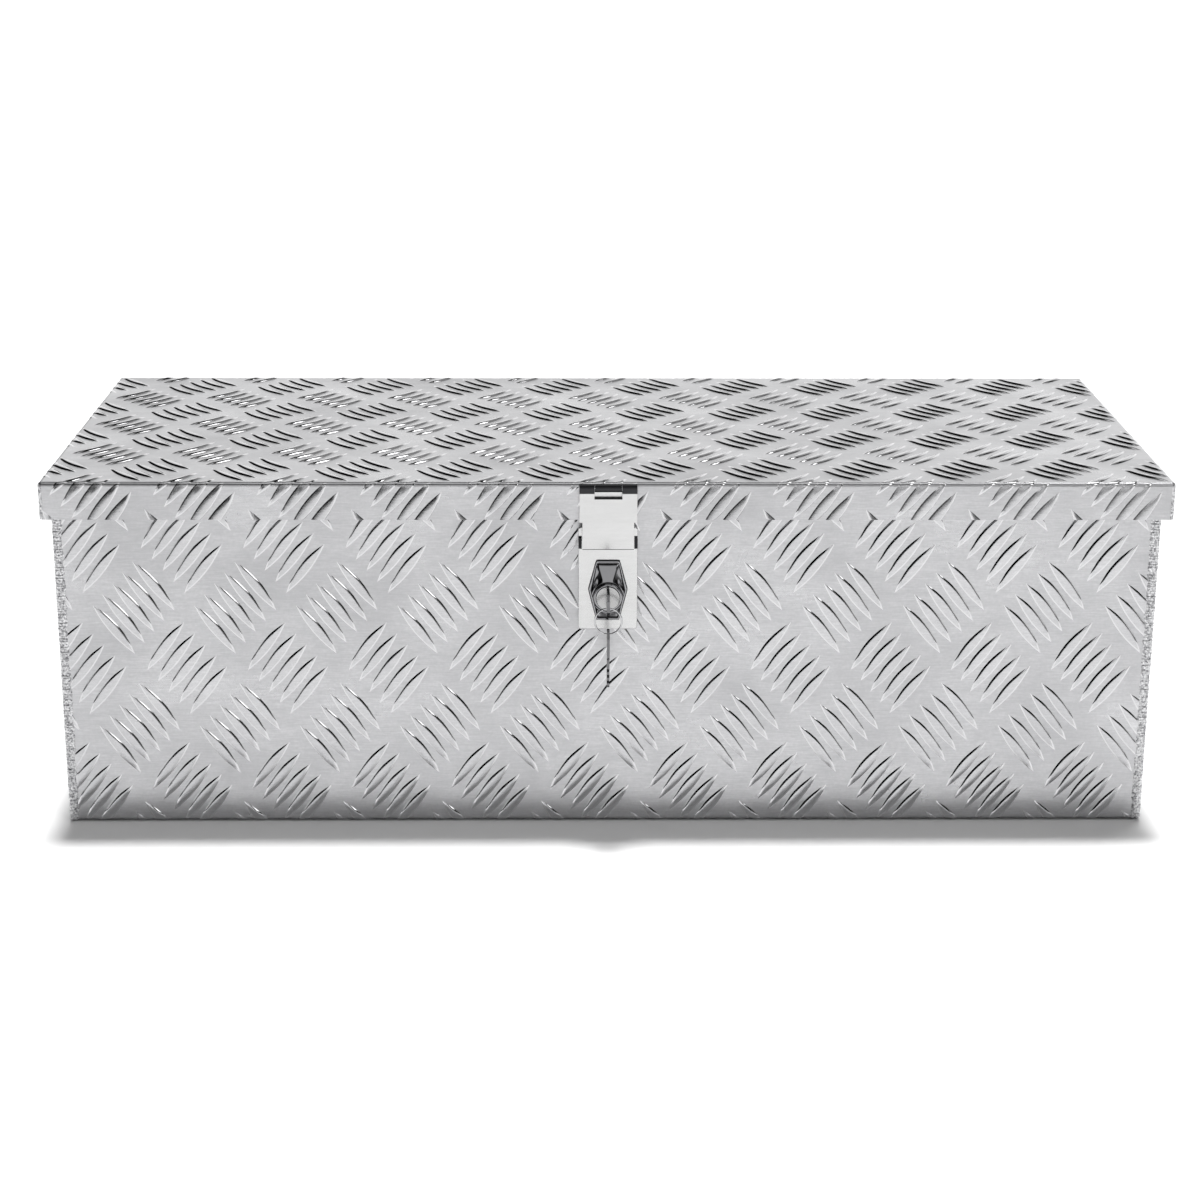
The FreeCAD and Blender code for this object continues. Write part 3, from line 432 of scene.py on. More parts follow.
@dataclass(frozen=True)
class TreadPattern:
    """Five-bar tread: groups of five lens-shaped bars on two interlocking grids."""

    pitch_u: float = 68.87
    pitch_w: float = 86.9
    bars: int = 5
    spacing: float = 10.53
    length: float = 43.8
    crown_rise: float = 4.3
    belly_rise: float = 3.0
    steps: int = 9
    levels: tuple[float, ...] = (0.0, 0.90, 1.8)
    crown_in: tuple[float, ...] = (0.0, 0.90, 1.8, 3.2)
    crown_up: tuple[float, ...] = (0.0, 0.88, 1.00, 1.06)
    belly_in: tuple[float, ...] = (0.0, 0.90, 1.8, 4.0)
    belly_up: tuple[float, ...] = (0.0, 0.32, 0.57, 1.06)
    least: float = 0.08

    @property
    def crown_radius(self) -> float:
        """Radius of the more curved side."""
        half = self.length / 2
        return (half * half + self.crown_rise ** 2) / (2 * self.crown_rise)

    @property
    def belly_radius(self) -> float:
        """Radius of the less curved side."""
        half = self.length / 2
        return (half * half + self.belly_rise ** 2) / (2 * self.belly_rise)

    @property
    def centres(self) -> tuple[float, float]:
        """Places of the two arc centres across the bar: crown's, then belly's."""
        return self.crown_rise - self.crown_radius, self.belly_radius - self.belly_rise

    def grid(self, phase: tuple[float, float], low: Sequence[float], high: Sequence[float]) -> list[Bar]:
        """Lists the bars that may touch a rectangle of the flat sheet.

        Args:
            phase: middle of one rising group.
            low: the rectangle's lowest u and w.
            high: the rectangle's highest u and w.

        Returns:
            The bars, group by group.
        """
        found = []
        for lean in Lean:
            shift = 0.0 if lean is Lean.RISING else 0.5
            bar_turn, stack_turn = (math.radians(part) for part in lean.value)
            first_u = math.floor((low[0] - phase[0]) / self.pitch_u) - 1
            last_u = math.ceil((high[0] - phase[0]) / self.pitch_u) + 1
            first_w = math.floor((low[1] - phase[1]) / self.pitch_w) - 1
            last_w = math.ceil((high[1] - phase[1]) / self.pitch_w) + 1
            for column in range(first_u, last_u + 1):
                for row in range(first_w, last_w + 1):
                    middle_u = phase[0] + (column + shift) * self.pitch_u
                    middle_w = phase[1] + (row + shift) * self.pitch_w
                    for place in range(self.bars):
                        away = (place - (self.bars - 1) / 2) * self.spacing
                        found.append(Bar(middle_u + away * math.cos(stack_turn),
                                         middle_w + away * math.sin(stack_turn), bar_turn))
        reach = self.length / 2
        return [bar for bar in found
                if low[0] - reach < bar.u < high[0] + reach and low[1] - reach < bar.w < high[1] + reach]

    def ring(self, inset: float) -> np.ndarray:
        """Draws the bar's outline, moved inward, in the bar's own frame.

        Args:
            inset: how far inward.

        Returns:
            The outline's points.
        """
        crown, belly = self.centres
        crown_r, belly_r = self.crown_radius - inset, self.belly_radius - inset
        tip_y = (crown_r ** 2 - belly_r ** 2 - crown ** 2 + belly ** 2) / (2 * (belly - crown))
        tip_x = math.sqrt(crown_r ** 2 - (tip_y - crown) ** 2)
        upper_turn = math.atan2(tip_y - crown, tip_x)
        lower_turn = math.atan2(tip_y - belly, tip_x)
        upper = np.linspace(upper_turn, math.pi - upper_turn, self.steps + 1)
        lower = np.linspace(math.pi - lower_turn, 2 * math.pi + lower_turn, self.steps + 1)
        top = np.stack([crown_r * np.cos(upper), crown + crown_r * np.sin(upper)], 1)
        under = np.stack([belly_r * np.cos(lower), belly + belly_r * np.sin(lower)], 1)
        return np.concatenate([top, under[1:-1]])

    def spine(self) -> np.ndarray:
        """Returns the points of the bar's ridge between its two innermost tips."""
        ring = self.ring(self.levels[-1])
        upper = ring[1:self.steps]
        lower = ring[:self.steps:-1]
        return ((upper + lower) / 2)[::2]

    def height(self, points: np.ndarray, bars: Sequence[Bar], crown_side: int) -> np.ndarray:
        """Height of the tread above the flat sheet.

        Args:
            points: places on the flat sheet, one (u, w) row each.
            bars: bars that may reach the points.
            crown_side: +1 if the more curved sides face +w, -1 if they face -w.

        Returns:
            The height at each point.
        """
        cell = self.length
        bins: dict[tuple[int, int], list[int]] = {}
        keys = np.floor(points / cell).astype(int)
        for index, key in enumerate(map(tuple, keys)):
            bins.setdefault(key, []).append(index)
        height = np.zeros(len(points))
        crown, belly = self.centres
        for bar in bars:
            near = []
            column, row = int(math.floor(bar.u / cell)), int(math.floor(bar.w / cell))
            for step_u in (-1, 0, 1):
                for step_w in (-1, 0, 1):
                    near += bins.get((column + step_u, row + step_w), [])
            if not near:
                continue
            local = rotate(points[near] - (bar.u, bar.w), -bar.angle)
            across = local[:, 1] * crown_side
            from_crown = self.crown_radius - np.hypot(local[:, 0], across - crown)
            from_belly = self.belly_radius - np.hypot(local[:, 0], across - belly)
            lift = np.minimum(np.interp(from_crown, self.crown_in, self.crown_up),
                              np.interp(from_belly, self.belly_in, self.belly_up))
            height[near] = np.maximum(height[near], lift)
        height[height < self.least] = 0.0
        return height


def rotate(points: np.ndarray, angle: float) -> np.ndarray:
    """Turns flat points about the origin."""
    cosine, sine = math.cos(angle), math.sin(angle)
    return points @ np.array([[cosine, sine], [-sine, cosine]])


@dataclass(frozen=True)
class Fold:
    """One bent band of a flat blank, between two parallel lines."""

    u: tuple[float, float]
    w: tuple[float, float]
    across_w: bool
    slices: int = 6

    def lines(self) -> list[tuple[tuple[float, float], tuple[float, float]]]:
        """Returns the lines where the band's slices start and end."""
        if self.across_w:
            return [((self.u[0], w), (self.u[1], w)) for w in np.linspace(*self.w, self.slices + 1)]
        return [((u, self.w[0]), (u, self.w[1])) for u in np.linspace(*self.u, self.slices + 1)]

    def gap(self, flat: np.ndarray) -> np.ndarray:
        """Measures how far each point lies outside the band.

        Args:
            flat: places on the flat sheet.

        Returns:
            The distance to the band, 0 inside it.
        """
        beyond_u = np.maximum(self.u[0] - flat[:, 0], flat[:, 0] - self.u[1])
        beyond_w = np.maximum(self.w[0] - flat[:, 1], flat[:, 1] - self.w[1])
        return np.hypot(np.maximum(beyond_u, 0.0), np.maximum(beyond_w, 0.0))


@dataclass
class FlatBlank:
    """The flat outline of a sheet as a union of rectangles, with its folds and welded edges."""

    rectangles: list[tuple[float, float, float, float]]
    folds: list[Fold] = field(default_factory=list)
    welded: list[Fold] = field(default_factory=list)

    def bends(self) -> list[tuple[tuple[float, float], tuple[float, float]]]:
        """Returns the lines of every fold's slices."""
        return [line for fold in self.folds for line in fold.lines()]

    def folded(self, points: np.ndarray) -> np.ndarray:
        """Finds the points inside a fold.

        Args:
            points: places on the flat sheet.

        Returns:
            True for each point that a fold holds.
        """
        inside = np.zeros(len(points), bool)
        for fold in self.folds:
            inside |= fold.gap(points) <= 0.0
        return inside

    def box(self) -> tuple[tuple[float, float], tuple[float, float]]:
        """Returns the lowest and highest (u, w) of the blank."""
        flat = np.array(self.rectangles)
        return (flat[:, 0].min(), flat[:, 2].min()), (flat[:, 1].max(), flat[:, 3].max())

    def holds(self, points: np.ndarray) -> np.ndarray:
        """Finds the points on the blank.

        Args:
            points: places on the flat sheet.

        Returns:
            True for each point that the blank holds.
        """
        inside = np.zeros(len(points), bool)
        for u0, u1, w0, w1 in self.rectangles:
            inside |= ((points[:, 0] > u0) & (points[:, 0] < u1)
                       & (points[:, 1] > w0) & (points[:, 1] < w1))
        return inside


@dataclass
class Stretch:
    """One straight or bent stretch of a folded sheet's section."""

    start: float
    length: float
    place: np.ndarray
    heading: float
    curl: float


@dataclass
class FoldedSection:
    """A sheet's section: straight runs joined by quarter bends, outside on the right."""

    begin: tuple[float, float]
    heading: float
    runs: Sequence[float]
    radius: float
    stretches: list[Stretch] = field(default_factory=list)

    def __post_init__(self) -> None:
        """Lays the stretches end to end."""
        place, heading, start = np.array(self.begin, float), self.heading, 0.0
        for index, run in enumerate(self.runs):
            if index:
                arc = self.radius * QUARTER
                self.stretches.append(Stretch(start, arc, place.copy(), heading, 1 / self.radius))
                left = np.array([-math.sin(heading), math.cos(heading)])
                centre = place + left * self.radius
                heading += QUARTER
                place = centre + np.array([math.sin(heading), -math.cos(heading)]) * self.radius
                start += arc
            self.stretches.append(Stretch(start, run, place.copy(), heading, 0.0))
            place = place + np.array([math.cos(heading), math.sin(heading)]) * run
            start += run
        self.total = start

    def bands(self) -> list[tuple[float, float]]:
        """Returns the distances along the section where each bend starts and ends."""
        return [(part.start, part.start + part.length) for part in self.stretches if part.curl]

    def at(self, distance: np.ndarray, height: np.ndarray) -> np.ndarray:
        """Places points of the sheet in the section's plane.

        Args:
            distance: how far along the outside face.
            height: how far outside that face.

        Returns:
            The (across, up) place of each point.
        """
        result = np.zeros((len(distance), 2))
        for stretch in self.stretches:
            last = stretch is self.stretches[-1]
            member = (distance >= stretch.start - (1e9 if stretch.start == 0 else 1e-9))
            if not last:
                member &= distance < stretch.start + stretch.length
            along = distance[member] - stretch.start
            lift = height[member][:, None]
            turn = stretch.heading + along * stretch.curl
            outward = np.stack([np.sin(turn), -np.cos(turn)], 1)
            if stretch.curl:
                first_out = np.array([math.sin(stretch.heading), -math.cos(stretch.heading)])
                centre = stretch.place - first_out / stretch.curl
                result[member] = centre + outward * (1 / stretch.curl + lift)
            else:
                ahead = np.array([math.cos(stretch.heading), math.sin(stretch.heading)])
                result[member] = stretch.place + ahead * along[:, None] + outward * lift
        return result


class TreadSheet:
    """A closed sheet with tread bars on its outside, cut flat and then folded."""

    def __init__(self, name: str, blank: FlatBlank, place: Place, phase: tuple[float, float],
                 crown_side: int, thickness: float, pattern: TreadPattern) -> None:
        """Stores what the sheet is cut from.

        Args:
            name: the piece's name.
            blank: flat outline and bend lines.
            place: folds flat points (u, w, height) into the box's frame, in millimetres.
            phase: middle of one rising group on the flat sheet.
            crown_side: +1 or -1, the way that the bars' more curved sides face.
            thickness: the sheet's thickness under the bars.
            pattern: the tread.
        """
        self.name = name
        self.blank = blank
        self.place = place
        self.phase = phase
        self.crown_side = crown_side
        self.thickness = thickness
        self.pattern = pattern

    def constraints(self, bars: Sequence[Bar]) -> tuple[list[Vector], list[tuple[int, int]]]:
        """Collects the points and edges that the flat mesh must keep.

        Args:
            bars: the bars on this blank.

        Returns:
            The points and the edges between them.
        """
        points: list[np.ndarray] = []
        edges: list[tuple[int, int]] = []

        def chain(flat: np.ndarray, closed: bool) -> None:
            """Adds a run of points joined by edges.

            Args:
                flat: the points in order.
                closed: whether the last point joins the first.
            """
            first, count = len(points), len(flat)
            points.extend(flat)
            edges.extend((first + step, first + step + 1) for step in range(count - 1))
            if closed:
                edges.append((first + count - 1, first))

        for u0, u1, w0, w1 in self.blank.rectangles:
            chain(np.array([(u0, w0), (u1, w0), (u1, w1), (u0, w1)]), True)
        for start, end in self.blank.bends():
            chain(np.array([start, end]), False)
        rings = [self.pattern.ring(level) for level in self.pattern.levels]
        ridge = self.pattern.spine()
        flip = np.array([1.0, self.crown_side])
        for bar in bars:
            middle = np.array([bar.u, bar.w])
            for ring in rings:
                chain(rotate(ring * flip, bar.angle) + middle, True)
            chain(rotate(ridge * flip, bar.angle) + middle, False)
        return [Vector(point) for point in points], edges

    def build(self) -> bpy.types.Object:
        """Cuts, embosses and folds the sheet.

        Returns:
            The finished object, with slots for ground, bar tops, flanks and the inside.
        """
        low, high = self.blank.box()
        bars = [bar for bar in self.pattern.grid(self.phase, low, high) if self.touches(bar)]
        points, edges = self.constraints(bars)
        flat, _, faces, *_ = delaunay_2d_cdt(points, edges, [], 0, 1e-3)
        flat = np.array([tuple(point) for point in flat])
        triangles = np.array(faces)
        triangles = triangles[self.blank.holds(flat[triangles].mean(1))]
        used, triangles = np.unique(triangles, return_inverse=True)
        flat, triangles = flat[used], triangles.reshape(-1, 3)
        height = self.pattern.height(flat, bars, self.crown_side) * self.pressed(flat)
        outer = self.place(flat[:, 0], flat[:, 1], height)
        rim = boundary_edges(triangles)
        rim_points = np.unique(rim)
        renumber = {int(old): len(flat) + new for new, old in enumerate(rim_points)}
        under_flat, under_faces = self.underside(flat, rim, rim_points)
        under = self.place(under_flat[:, 0], under_flat[:, 1],
                           np.full(len(under_flat), -self.thickness))
        faces_out = [tuple(int(corner) for corner in face) for face in triangles]
        faces_out += [tuple(int(corner) + len(flat) for corner in face[::-1]) for face in under_faces]
        faces_out += [(int(b), int(a), renumber[int(a)], renumber[int(b)]) for a, b in rim]
        obj = make_object(self.name, np.concatenate([outer, under]) * MM, faces_out)
        kind = self.sort_faces(triangles, height)
        kind = np.concatenate([kind, np.zeros(len(faces_out) - len(kind), int)])
        zone = 2 * (kind > 0)
        zone[:len(triangles)] += self.blank.folded(flat[triangles].mean(1))
        kind[len(triangles):len(triangles) + len(under_faces)] = 3
        for _ in range(4):
            obj.data.materials.append(None)
        obj.data.polygons.foreach_set("material_index", kind)
        smooth(obj, 44.0)
        crisp_between(obj, zone)
        return obj

    def pressed(self, flat: np.ndarray) -> np.ndarray:
        """Finds how much of the tread's height is left after bending and welding.

        Args:
            flat: places on the flat sheet.

        Returns:
            The share of the height that is left at each point.
        """
        in_fold, fold_reach = 0.30, 3.0
        at_weld, weld_width, weld_reach = 0.12, 1.5, 5.0
        left = np.ones(len(flat))
        for fold in self.blank.folds:
            left = np.minimum(left, np.clip(in_fold + fold.gap(flat) / fold_reach, 0.0, 1.0))
        for edge in self.blank.welded:
            kept = at_weld + (edge.gap(flat) - weld_width) / weld_reach
            left = np.minimum(left, np.clip(kept, at_weld, 1.0))
        return left

    def touches(self, bar: Bar) -> bool:
        """Returns whether any of the bar lies on the blank."""
        outline = rotate(self.pattern.ring(0.0) * (1.0, self.crown_side), bar.angle)
        return bool(self.blank.holds(outline + (bar.u, bar.w)).any())

    def sort_faces(self, triangles: np.ndarray, height: np.ndarray) -> np.ndarray:
        """Sorts the outside faces by what they belong to.

        Args:
            triangles: corner numbers of each face.
            height: the tread's height at each corner.

        Returns:
            0 for ground, 1 for bar top and 2 for flank, face by face.
        """
        lowest, highest = height[triangles].min(1), height[triangles].max(1)
        foot = 1e-3
        kind = np.zeros(len(triangles), int)
        kind[lowest > foot] = 1
        kind[(lowest <= foot) & (highest > foot)] = 2
        return kind

    def underside(self, flat: np.ndarray, rim: np.ndarray, rim_points: np.ndarray
                  ) -> tuple[np.ndarray, np.ndarray]:
        """Meshes the plain inside face on the same rim points.

        Args:
            flat: flat places of the outside points.
            rim: pairs of outside points on the blank's rim.
            rim_points: the sorted points that the pairs use.

        Returns:
            Flat places, rim points first, and the triangles between them.
        """
        order = {int(point): index for index, point in enumerate(rim_points)}
        points = [Vector(flat[point]) for point in rim_points]
        edges = [(order[int(a)], order[int(b)]) for a, b in rim]
        for start, end in self.blank.bends():
            first = len(points)
            points += [Vector(start), Vector(end)]
            edges.append((first, first + 1))
        out, _, faces, originals, *_ = delaunay_2d_cdt(points, edges, [], 0, 1e-3)
        out = np.array([tuple(point) for point in out])
        faces = np.array(faces)
        faces = faces[self.blank.holds(out[faces].mean(1))]
        position = {}
        for index, sources in enumerate(originals):
            for source in sources:
                position[source] = index
        count = len(rim_points)
        number = {position[index]: index for index in range(count)}
        extra = []
        for index in np.unique(faces):
            if int(index) not in number:
                number[int(index)] = count + len(extra)
                extra.append(out[index])
        places = np.concatenate([flat[rim_points], np.array(extra).reshape(-1, 2)])
        return places, np.array([[number[int(corner)] for corner in face] for face in faces])


def boundary_edges(triangles: np.ndarray) -> np.ndarray:
    """Finds the rim of a flat mesh.

    Args:
        triangles: corner numbers of each face.

    Returns:
        The directed edges that only one triangle uses.
    """
    edges = np.concatenate([triangles[:, [0, 1]], triangles[:, [1, 2]], triangles[:, [2, 0]]])
    ordered = np.sort(edges, 1)
    _, first, count = np.unique(ordered, axis=0, return_index=True, return_counts=True)
    return edges[first[count == 1]]


def make_object(name: str, points: np.ndarray, faces: Sequence[tuple[int, ...]]) -> bpy.types.Object:
    """Makes a mesh object with outward faces.

    Args:
        name: the piece's name.
        points: places in metres.
        faces: corner numbers of each face.

    Returns:
        The object, linked into the scene.
    """
    mesh = bpy.data.meshes.new(name)
    mesh.from_pydata([tuple(point) for point in points], [], faces)
    mesh.validate()
    solid = bmesh.new()
    solid.from_mesh(mesh)
    bmesh.ops.recalc_face_normals(solid, faces=solid.faces)
    solid.to_mesh(mesh)
    solid.free()
    obj = bpy.data.objects.new(name, mesh)
    bpy.context.scene.collection.objects.link(obj)
    return obj


def smooth(obj: bpy.types.Object, angle: float) -> None:
    """Shades an object smooth and keeps edges sharper than the angle, in degrees."""
    obj.data.shade_smooth()
    obj.data.set_sharp_from_angle(angle=math.radians(angle))


def crisp_between(obj: bpy.types.Object, zone: np.ndarray) -> None:
    """Marks the edges where faces of different zones meet as sharp.

    Args:
        obj: the object.
        zone: the zone's number for each face.
    """
    mesh = obj.data
    loops = np.empty(len(mesh.loops), int)
    mesh.loops.foreach_get("edge_index", loops)
    sizes = np.empty(len(mesh.polygons), int)
    mesh.polygons.foreach_get("loop_total", sizes)
    owner = np.repeat(zone, sizes)
    highest = np.zeros(len(mesh.edges), int)
    lowest = np.full(len(mesh.edges), int(zone.max()))
    np.maximum.at(highest, loops, owner)
    np.minimum.at(lowest, loops, owner)
    sharp = np.empty(len(mesh.edges), bool)
    attribute = mesh.attributes.get("sharp_edge") or mesh.attributes.new("sharp_edge", "BOOLEAN", "EDGE")
    attribute.data.foreach_get("value", sharp)
    attribute.data.foreach_set("value", sharp | (highest != lowest))


# ------------------------------------------------------------------ box and lid
@dataclass
class ToolBoxSizes:
    """Main sizes in millimetres, read from the frame."""

    half_x: float
    half_y: float
    rim_z: float
    lid_x: float
    lid_y: float
    lid_low: float
    top_z: float
    sheet: float = 2.0
    fold: float = 2.6

    @classmethod
    def from_frame(cls) -> "ToolBoxSizes":
        """Reads the sizes from the frame's nodes."""
        wrap_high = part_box("body_wrap")[1] / MM
        weld_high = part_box("corner_weld_right")[1] / MM
        lid_low, lid_high = (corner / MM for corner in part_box("lid_panel"))
        return cls(weld_high.x, wrap_high.y, wrap_high.z, lid_high.x, lid_high.y, lid_low.z, lid_high.z)


@dataclass
class TreadBox:
    """The body: the folded wrap, two end plates and their weld beads."""

    sizes: ToolBoxSizes
    paints: Paints
    pattern: TreadPattern
    lip: float = 14.0
    end_fold: float = 2.0
    front_phase: tuple[float, float] = (-12.0, 111.5)
    end_phase: tuple[float, float] = (6.0, 96.0)

    def wrap(self) -> bpy.types.Object:
        """Builds the front, floor and back as one folded sheet."""
        s = self.sizes
        half = s.half_x - s.sheet
        run = s.rim_z - 2 * s.fold
        section = FoldedSection(
            (-s.half_y + self.lip, s.rim_z), math.pi,
            (self.lip - s.fold, run, 2 * (s.half_y - s.fold), run, self.lip - s.fold), s.fold)
        top_of_front = section.stretches[2].start
        front_top = s.rim_z - s.fold

        def place(u: np.ndarray, w: np.ndarray, height: np.ndarray) -> np.ndarray:
            """Folds flat points; w is the height above the floor on the front wall."""
            flat = section.at(top_of_front + front_top - w, height)
            return np.column_stack([u, flat])

        def level(distance: float) -> float:
            """Turns a distance along the section into the sheet's w."""
            return top_of_front + front_top - distance

        span = (level(section.total), level(0.0))
        blank = FlatBlank(
            [(-half, half, *span)],
            [Fold((-half, half), (level(end), level(start)), True) for start, end in section.bands()],
            [Fold((edge, edge), span, False) for edge in (-half, half)])
        sheet = TreadSheet("body_wrap_tread", blank, place, self.front_phase, 1, s.sheet, self.pattern)
        obj = sheet.build()
        self.paints.dress(obj, Finish.GROUND, Finish.BAR_TOP, Finish.FLANK, Finish.INSIDE)
        return obj

    def end_plate(self, side: int) -> bpy.types.Object:
        """Builds one end plate with its top lip.

        Args:
            side: -1 for the left end, +1 for the right.

        Returns:
            The end plate.
        """
        s = self.sizes
        section = FoldedSection((-(s.half_x - self.lip), s.rim_z), math.pi,
                                (self.lip - self.end_fold, s.rim_z - self.end_fold - s.sheet),
                                self.end_fold)
        wall_top = section.stretches[2].start
        half = s.half_y - s.sheet

        def level(distance: float) -> float:
            """Turns a distance along the section into the height on the wall."""
            return wall_top + s.rim_z - self.end_fold - distance

        def place(u: np.ndarray, w: np.ndarray, height: np.ndarray) -> np.ndarray:
            """Folds flat points; u runs to the right as seen from outside this end."""
            flat = section.at(wall_top + s.rim_z - self.end_fold - w, height)
            return np.column_stack([-flat[:, 0] * side, u * side, flat[:, 1]])

        lip_half = s.half_y - self.lip - 0.2
        foot = level(section.total)
        blank = FlatBlank(
            [(-half, half, foot, level(wall_top)), (-lip_half, lip_half, level(wall_top), level(0.0))],
            [Fold((-lip_half, lip_half), (level(end), level(start)), True)
             for start, end in section.bands()],
            [Fold((edge, edge), (foot, level(wall_top)), False) for edge in (-half, half)]
            + [Fold((-half, half), (foot, foot), True)])
        word = "left" if side < 0 else "right"
        phase = (self.end_phase[0] * side, self.end_phase[1] + side * 11.0)
        sheet = TreadSheet(f"end_plate_{word}_tread", blank, place, phase, side, s.sheet, self.pattern)
        obj = sheet.build()
        self.paints.dress(obj, Finish.END_GROUND, Finish.END_BAR_TOP, Finish.FLANK, Finish.INSIDE)
        return obj

    def weld(self, side: int) -> bpy.types.Object:
        """Builds the rippled bead that joins one end plate to the wrap.

        Args:
            side: -1 for the left end, +1 for the right.

        Returns:
            The bead.
        """
        s = self.sizes
        route = BeadRoute([(-s.half_y, s.rim_z), (-s.half_y, 0.0), (s.half_y, 0.0), (s.half_y, s.rim_z)],
                          s.fold)
        bead = WeldBead(pitch=1.9, seed=11 if side < 0 else 23)
        word = "left" if side < 0 else "right"
        points, faces = bead.along(route)
        obj = make_object(f"corner_weld_{word}_bead",
                          np.column_stack([(s.half_x + points[:, 0]) * side, points[:, 1:]]) * MM, faces)
        smooth(obj, 60.0)
        self.paints.dress(obj, Finish.WELD)
        return obj

    def build(self) -> None:
        """Builds every piece of the body and ties it to the frame."""
        place_piece(self.wrap(), "box", "tread_plate", "body_wrap")
        for side, word in ((-1, "left"), (1, "right")):
            place_piece(self.end_plate(side), "box", "tread_plate", f"end_plate_{word}")
            place_piece(self.weld(side), "box", "weld", f"corner_weld_{word}")


def place_piece(obj: bpy.types.Object, body: str, slot: str, *nodes: str) -> None:
    """Ties a piece to the frame and reports it.

    Args:
        obj: the finished piece.
        body: the body that it rides on.
        slot: not used.
        nodes: the nodes that it stands for.
    """
    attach(obj, body)
    if nodes:
        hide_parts(*nodes)
    LOG.info("%s: %d faces on %s", obj.name, len(obj.data.polygons), body)


@dataclass
class BeadRoute:
    """A weld's route in the YZ plane: straight runs with rounded corners."""

    corners: list[tuple[float, float]]
    round: float

    def sample(self, pitch: float) -> tuple[np.ndarray, np.ndarray]:
        """Walks the route in even steps.

        Args:
            pitch: distance between two samples.

        Returns:
            The places, and the outward direction at each place.
        """
        dense = [np.array(self.corners[0], float)]
        for before, corner, after in zip(self.corners, self.corners[1:], self.corners[2:]):
            corner_at = np.array(corner, float)
            back = (np.array(before) - corner_at) / np.linalg.norm(np.array(before) - corner_at)
            ahead = (np.array(after) - corner_at) / np.linalg.norm(np.array(after) - corner_at)
            centre = corner_at + (back + ahead) * self.round
            for turn in np.linspace(0.0, QUARTER, 9):
                dense.append(centre - ahead * self.round * math.cos(turn)
                             - back * self.round * math.sin(turn))
        dense.append(np.array(self.corners[-1], float))
        line = np.array(dense)
        gaps = np.linalg.norm(np.diff(line, axis=0), axis=1)
        travelled = np.concatenate([[0.0], np.cumsum(gaps)])
        count = int(travelled[-1] / pitch)
        where = np.linspace(0.0, travelled[-1], count + 1)
        places = np.column_stack([np.interp(where, travelled, line[:, 0]),
                                  np.interp(where, travelled, line[:, 1])])
        ahead = np.gradient(places, axis=0)
        ahead /= np.linalg.norm(ahead, axis=1)[:, None]
        return places, np.column_stack([ahead[:, 1], -ahead[:, 0]])


@dataclass
class WeldBead:
    """A bead laid in overlapping ripples over an outside corner."""

    pitch: float
    seed: int
    rings: int = 5
    section: tuple[tuple[float, float], ...] = (
        (6.4, 0.3), (5.3, -0.45), (3.9, -0.80), (2.4, -0.90), (0.9, -0.80), (-0.2, -0.2), (-0.80, 0.9),
        (-0.90, 2.4), (-0.80, 3.9), (-0.45, 5.3), (0.3, 6.4), (1.4, 6.0), (2.3, 2.3), (6.0, 1.4))

    def along(self, route: BeadRoute) -> tuple[np.ndarray, list[tuple[int, ...]]]:
        """Lays the bead along a route.

        The section gives each point's depth below the end face and below the folded sheet.

        Args:
            route: the route in the YZ plane, on the sheet's outside.

        Returns:
            Points as (across, y, z), across counted outward from the end face, and the faces.
        """
        random = np.random.default_rng(self.seed)
        places, outward = route.sample(self.pitch / self.rings)
        count, sides = len(places), len(self.section)
        ripples = count // self.rings + 3
        size = random.normal(0.0, 0.10, ripples)
        wander = random.normal(0.0, 0.22, ripples)
        phase = np.cumsum(random.normal(1.0, 0.12, ripples))
        points = []
        for index in range(count):
            step_at = index / self.rings
            whole = int(step_at)
            beat = phase[whole] + (phase[whole + 1] - phase[whole]) * (step_at - whole)
            sway = wander[whole] * (whole + 1 - step_at) + wander[whole + 1] * (step_at - whole)
            for depth_x, depth_y in self.section:
                lag = 0.07 * min(abs(depth_x - 2.4), abs(depth_y - 2.4))
                crest = abs(math.sin(math.pi * (beat + lag))) ** 0.6
                swell = 0.72 + 0.42 * crest + size[whole] + random.normal(0.0, 0.09)
                deep_x = depth_x * swell if depth_x < 0 else depth_x + sway * (depth_x > 5.0)
                deep_y = depth_y * swell if depth_y < 0 else depth_y + sway * (depth_y > 5.0)
                place = places[index] - outward[index] * deep_y
                points.append((-deep_x, place[0], place[1]))
        faces = []
        for index in range(count - 1):
            for step in range(sides):
                a, b = index * sides + step, index * sides + (step + 1) % sides
                faces.append((a, b, b + sides, a + sides))
        faces.append(tuple(range(sides)))
        faces.append(tuple(range((count - 1) * sides, count * sides)))
        return np.array(points), faces


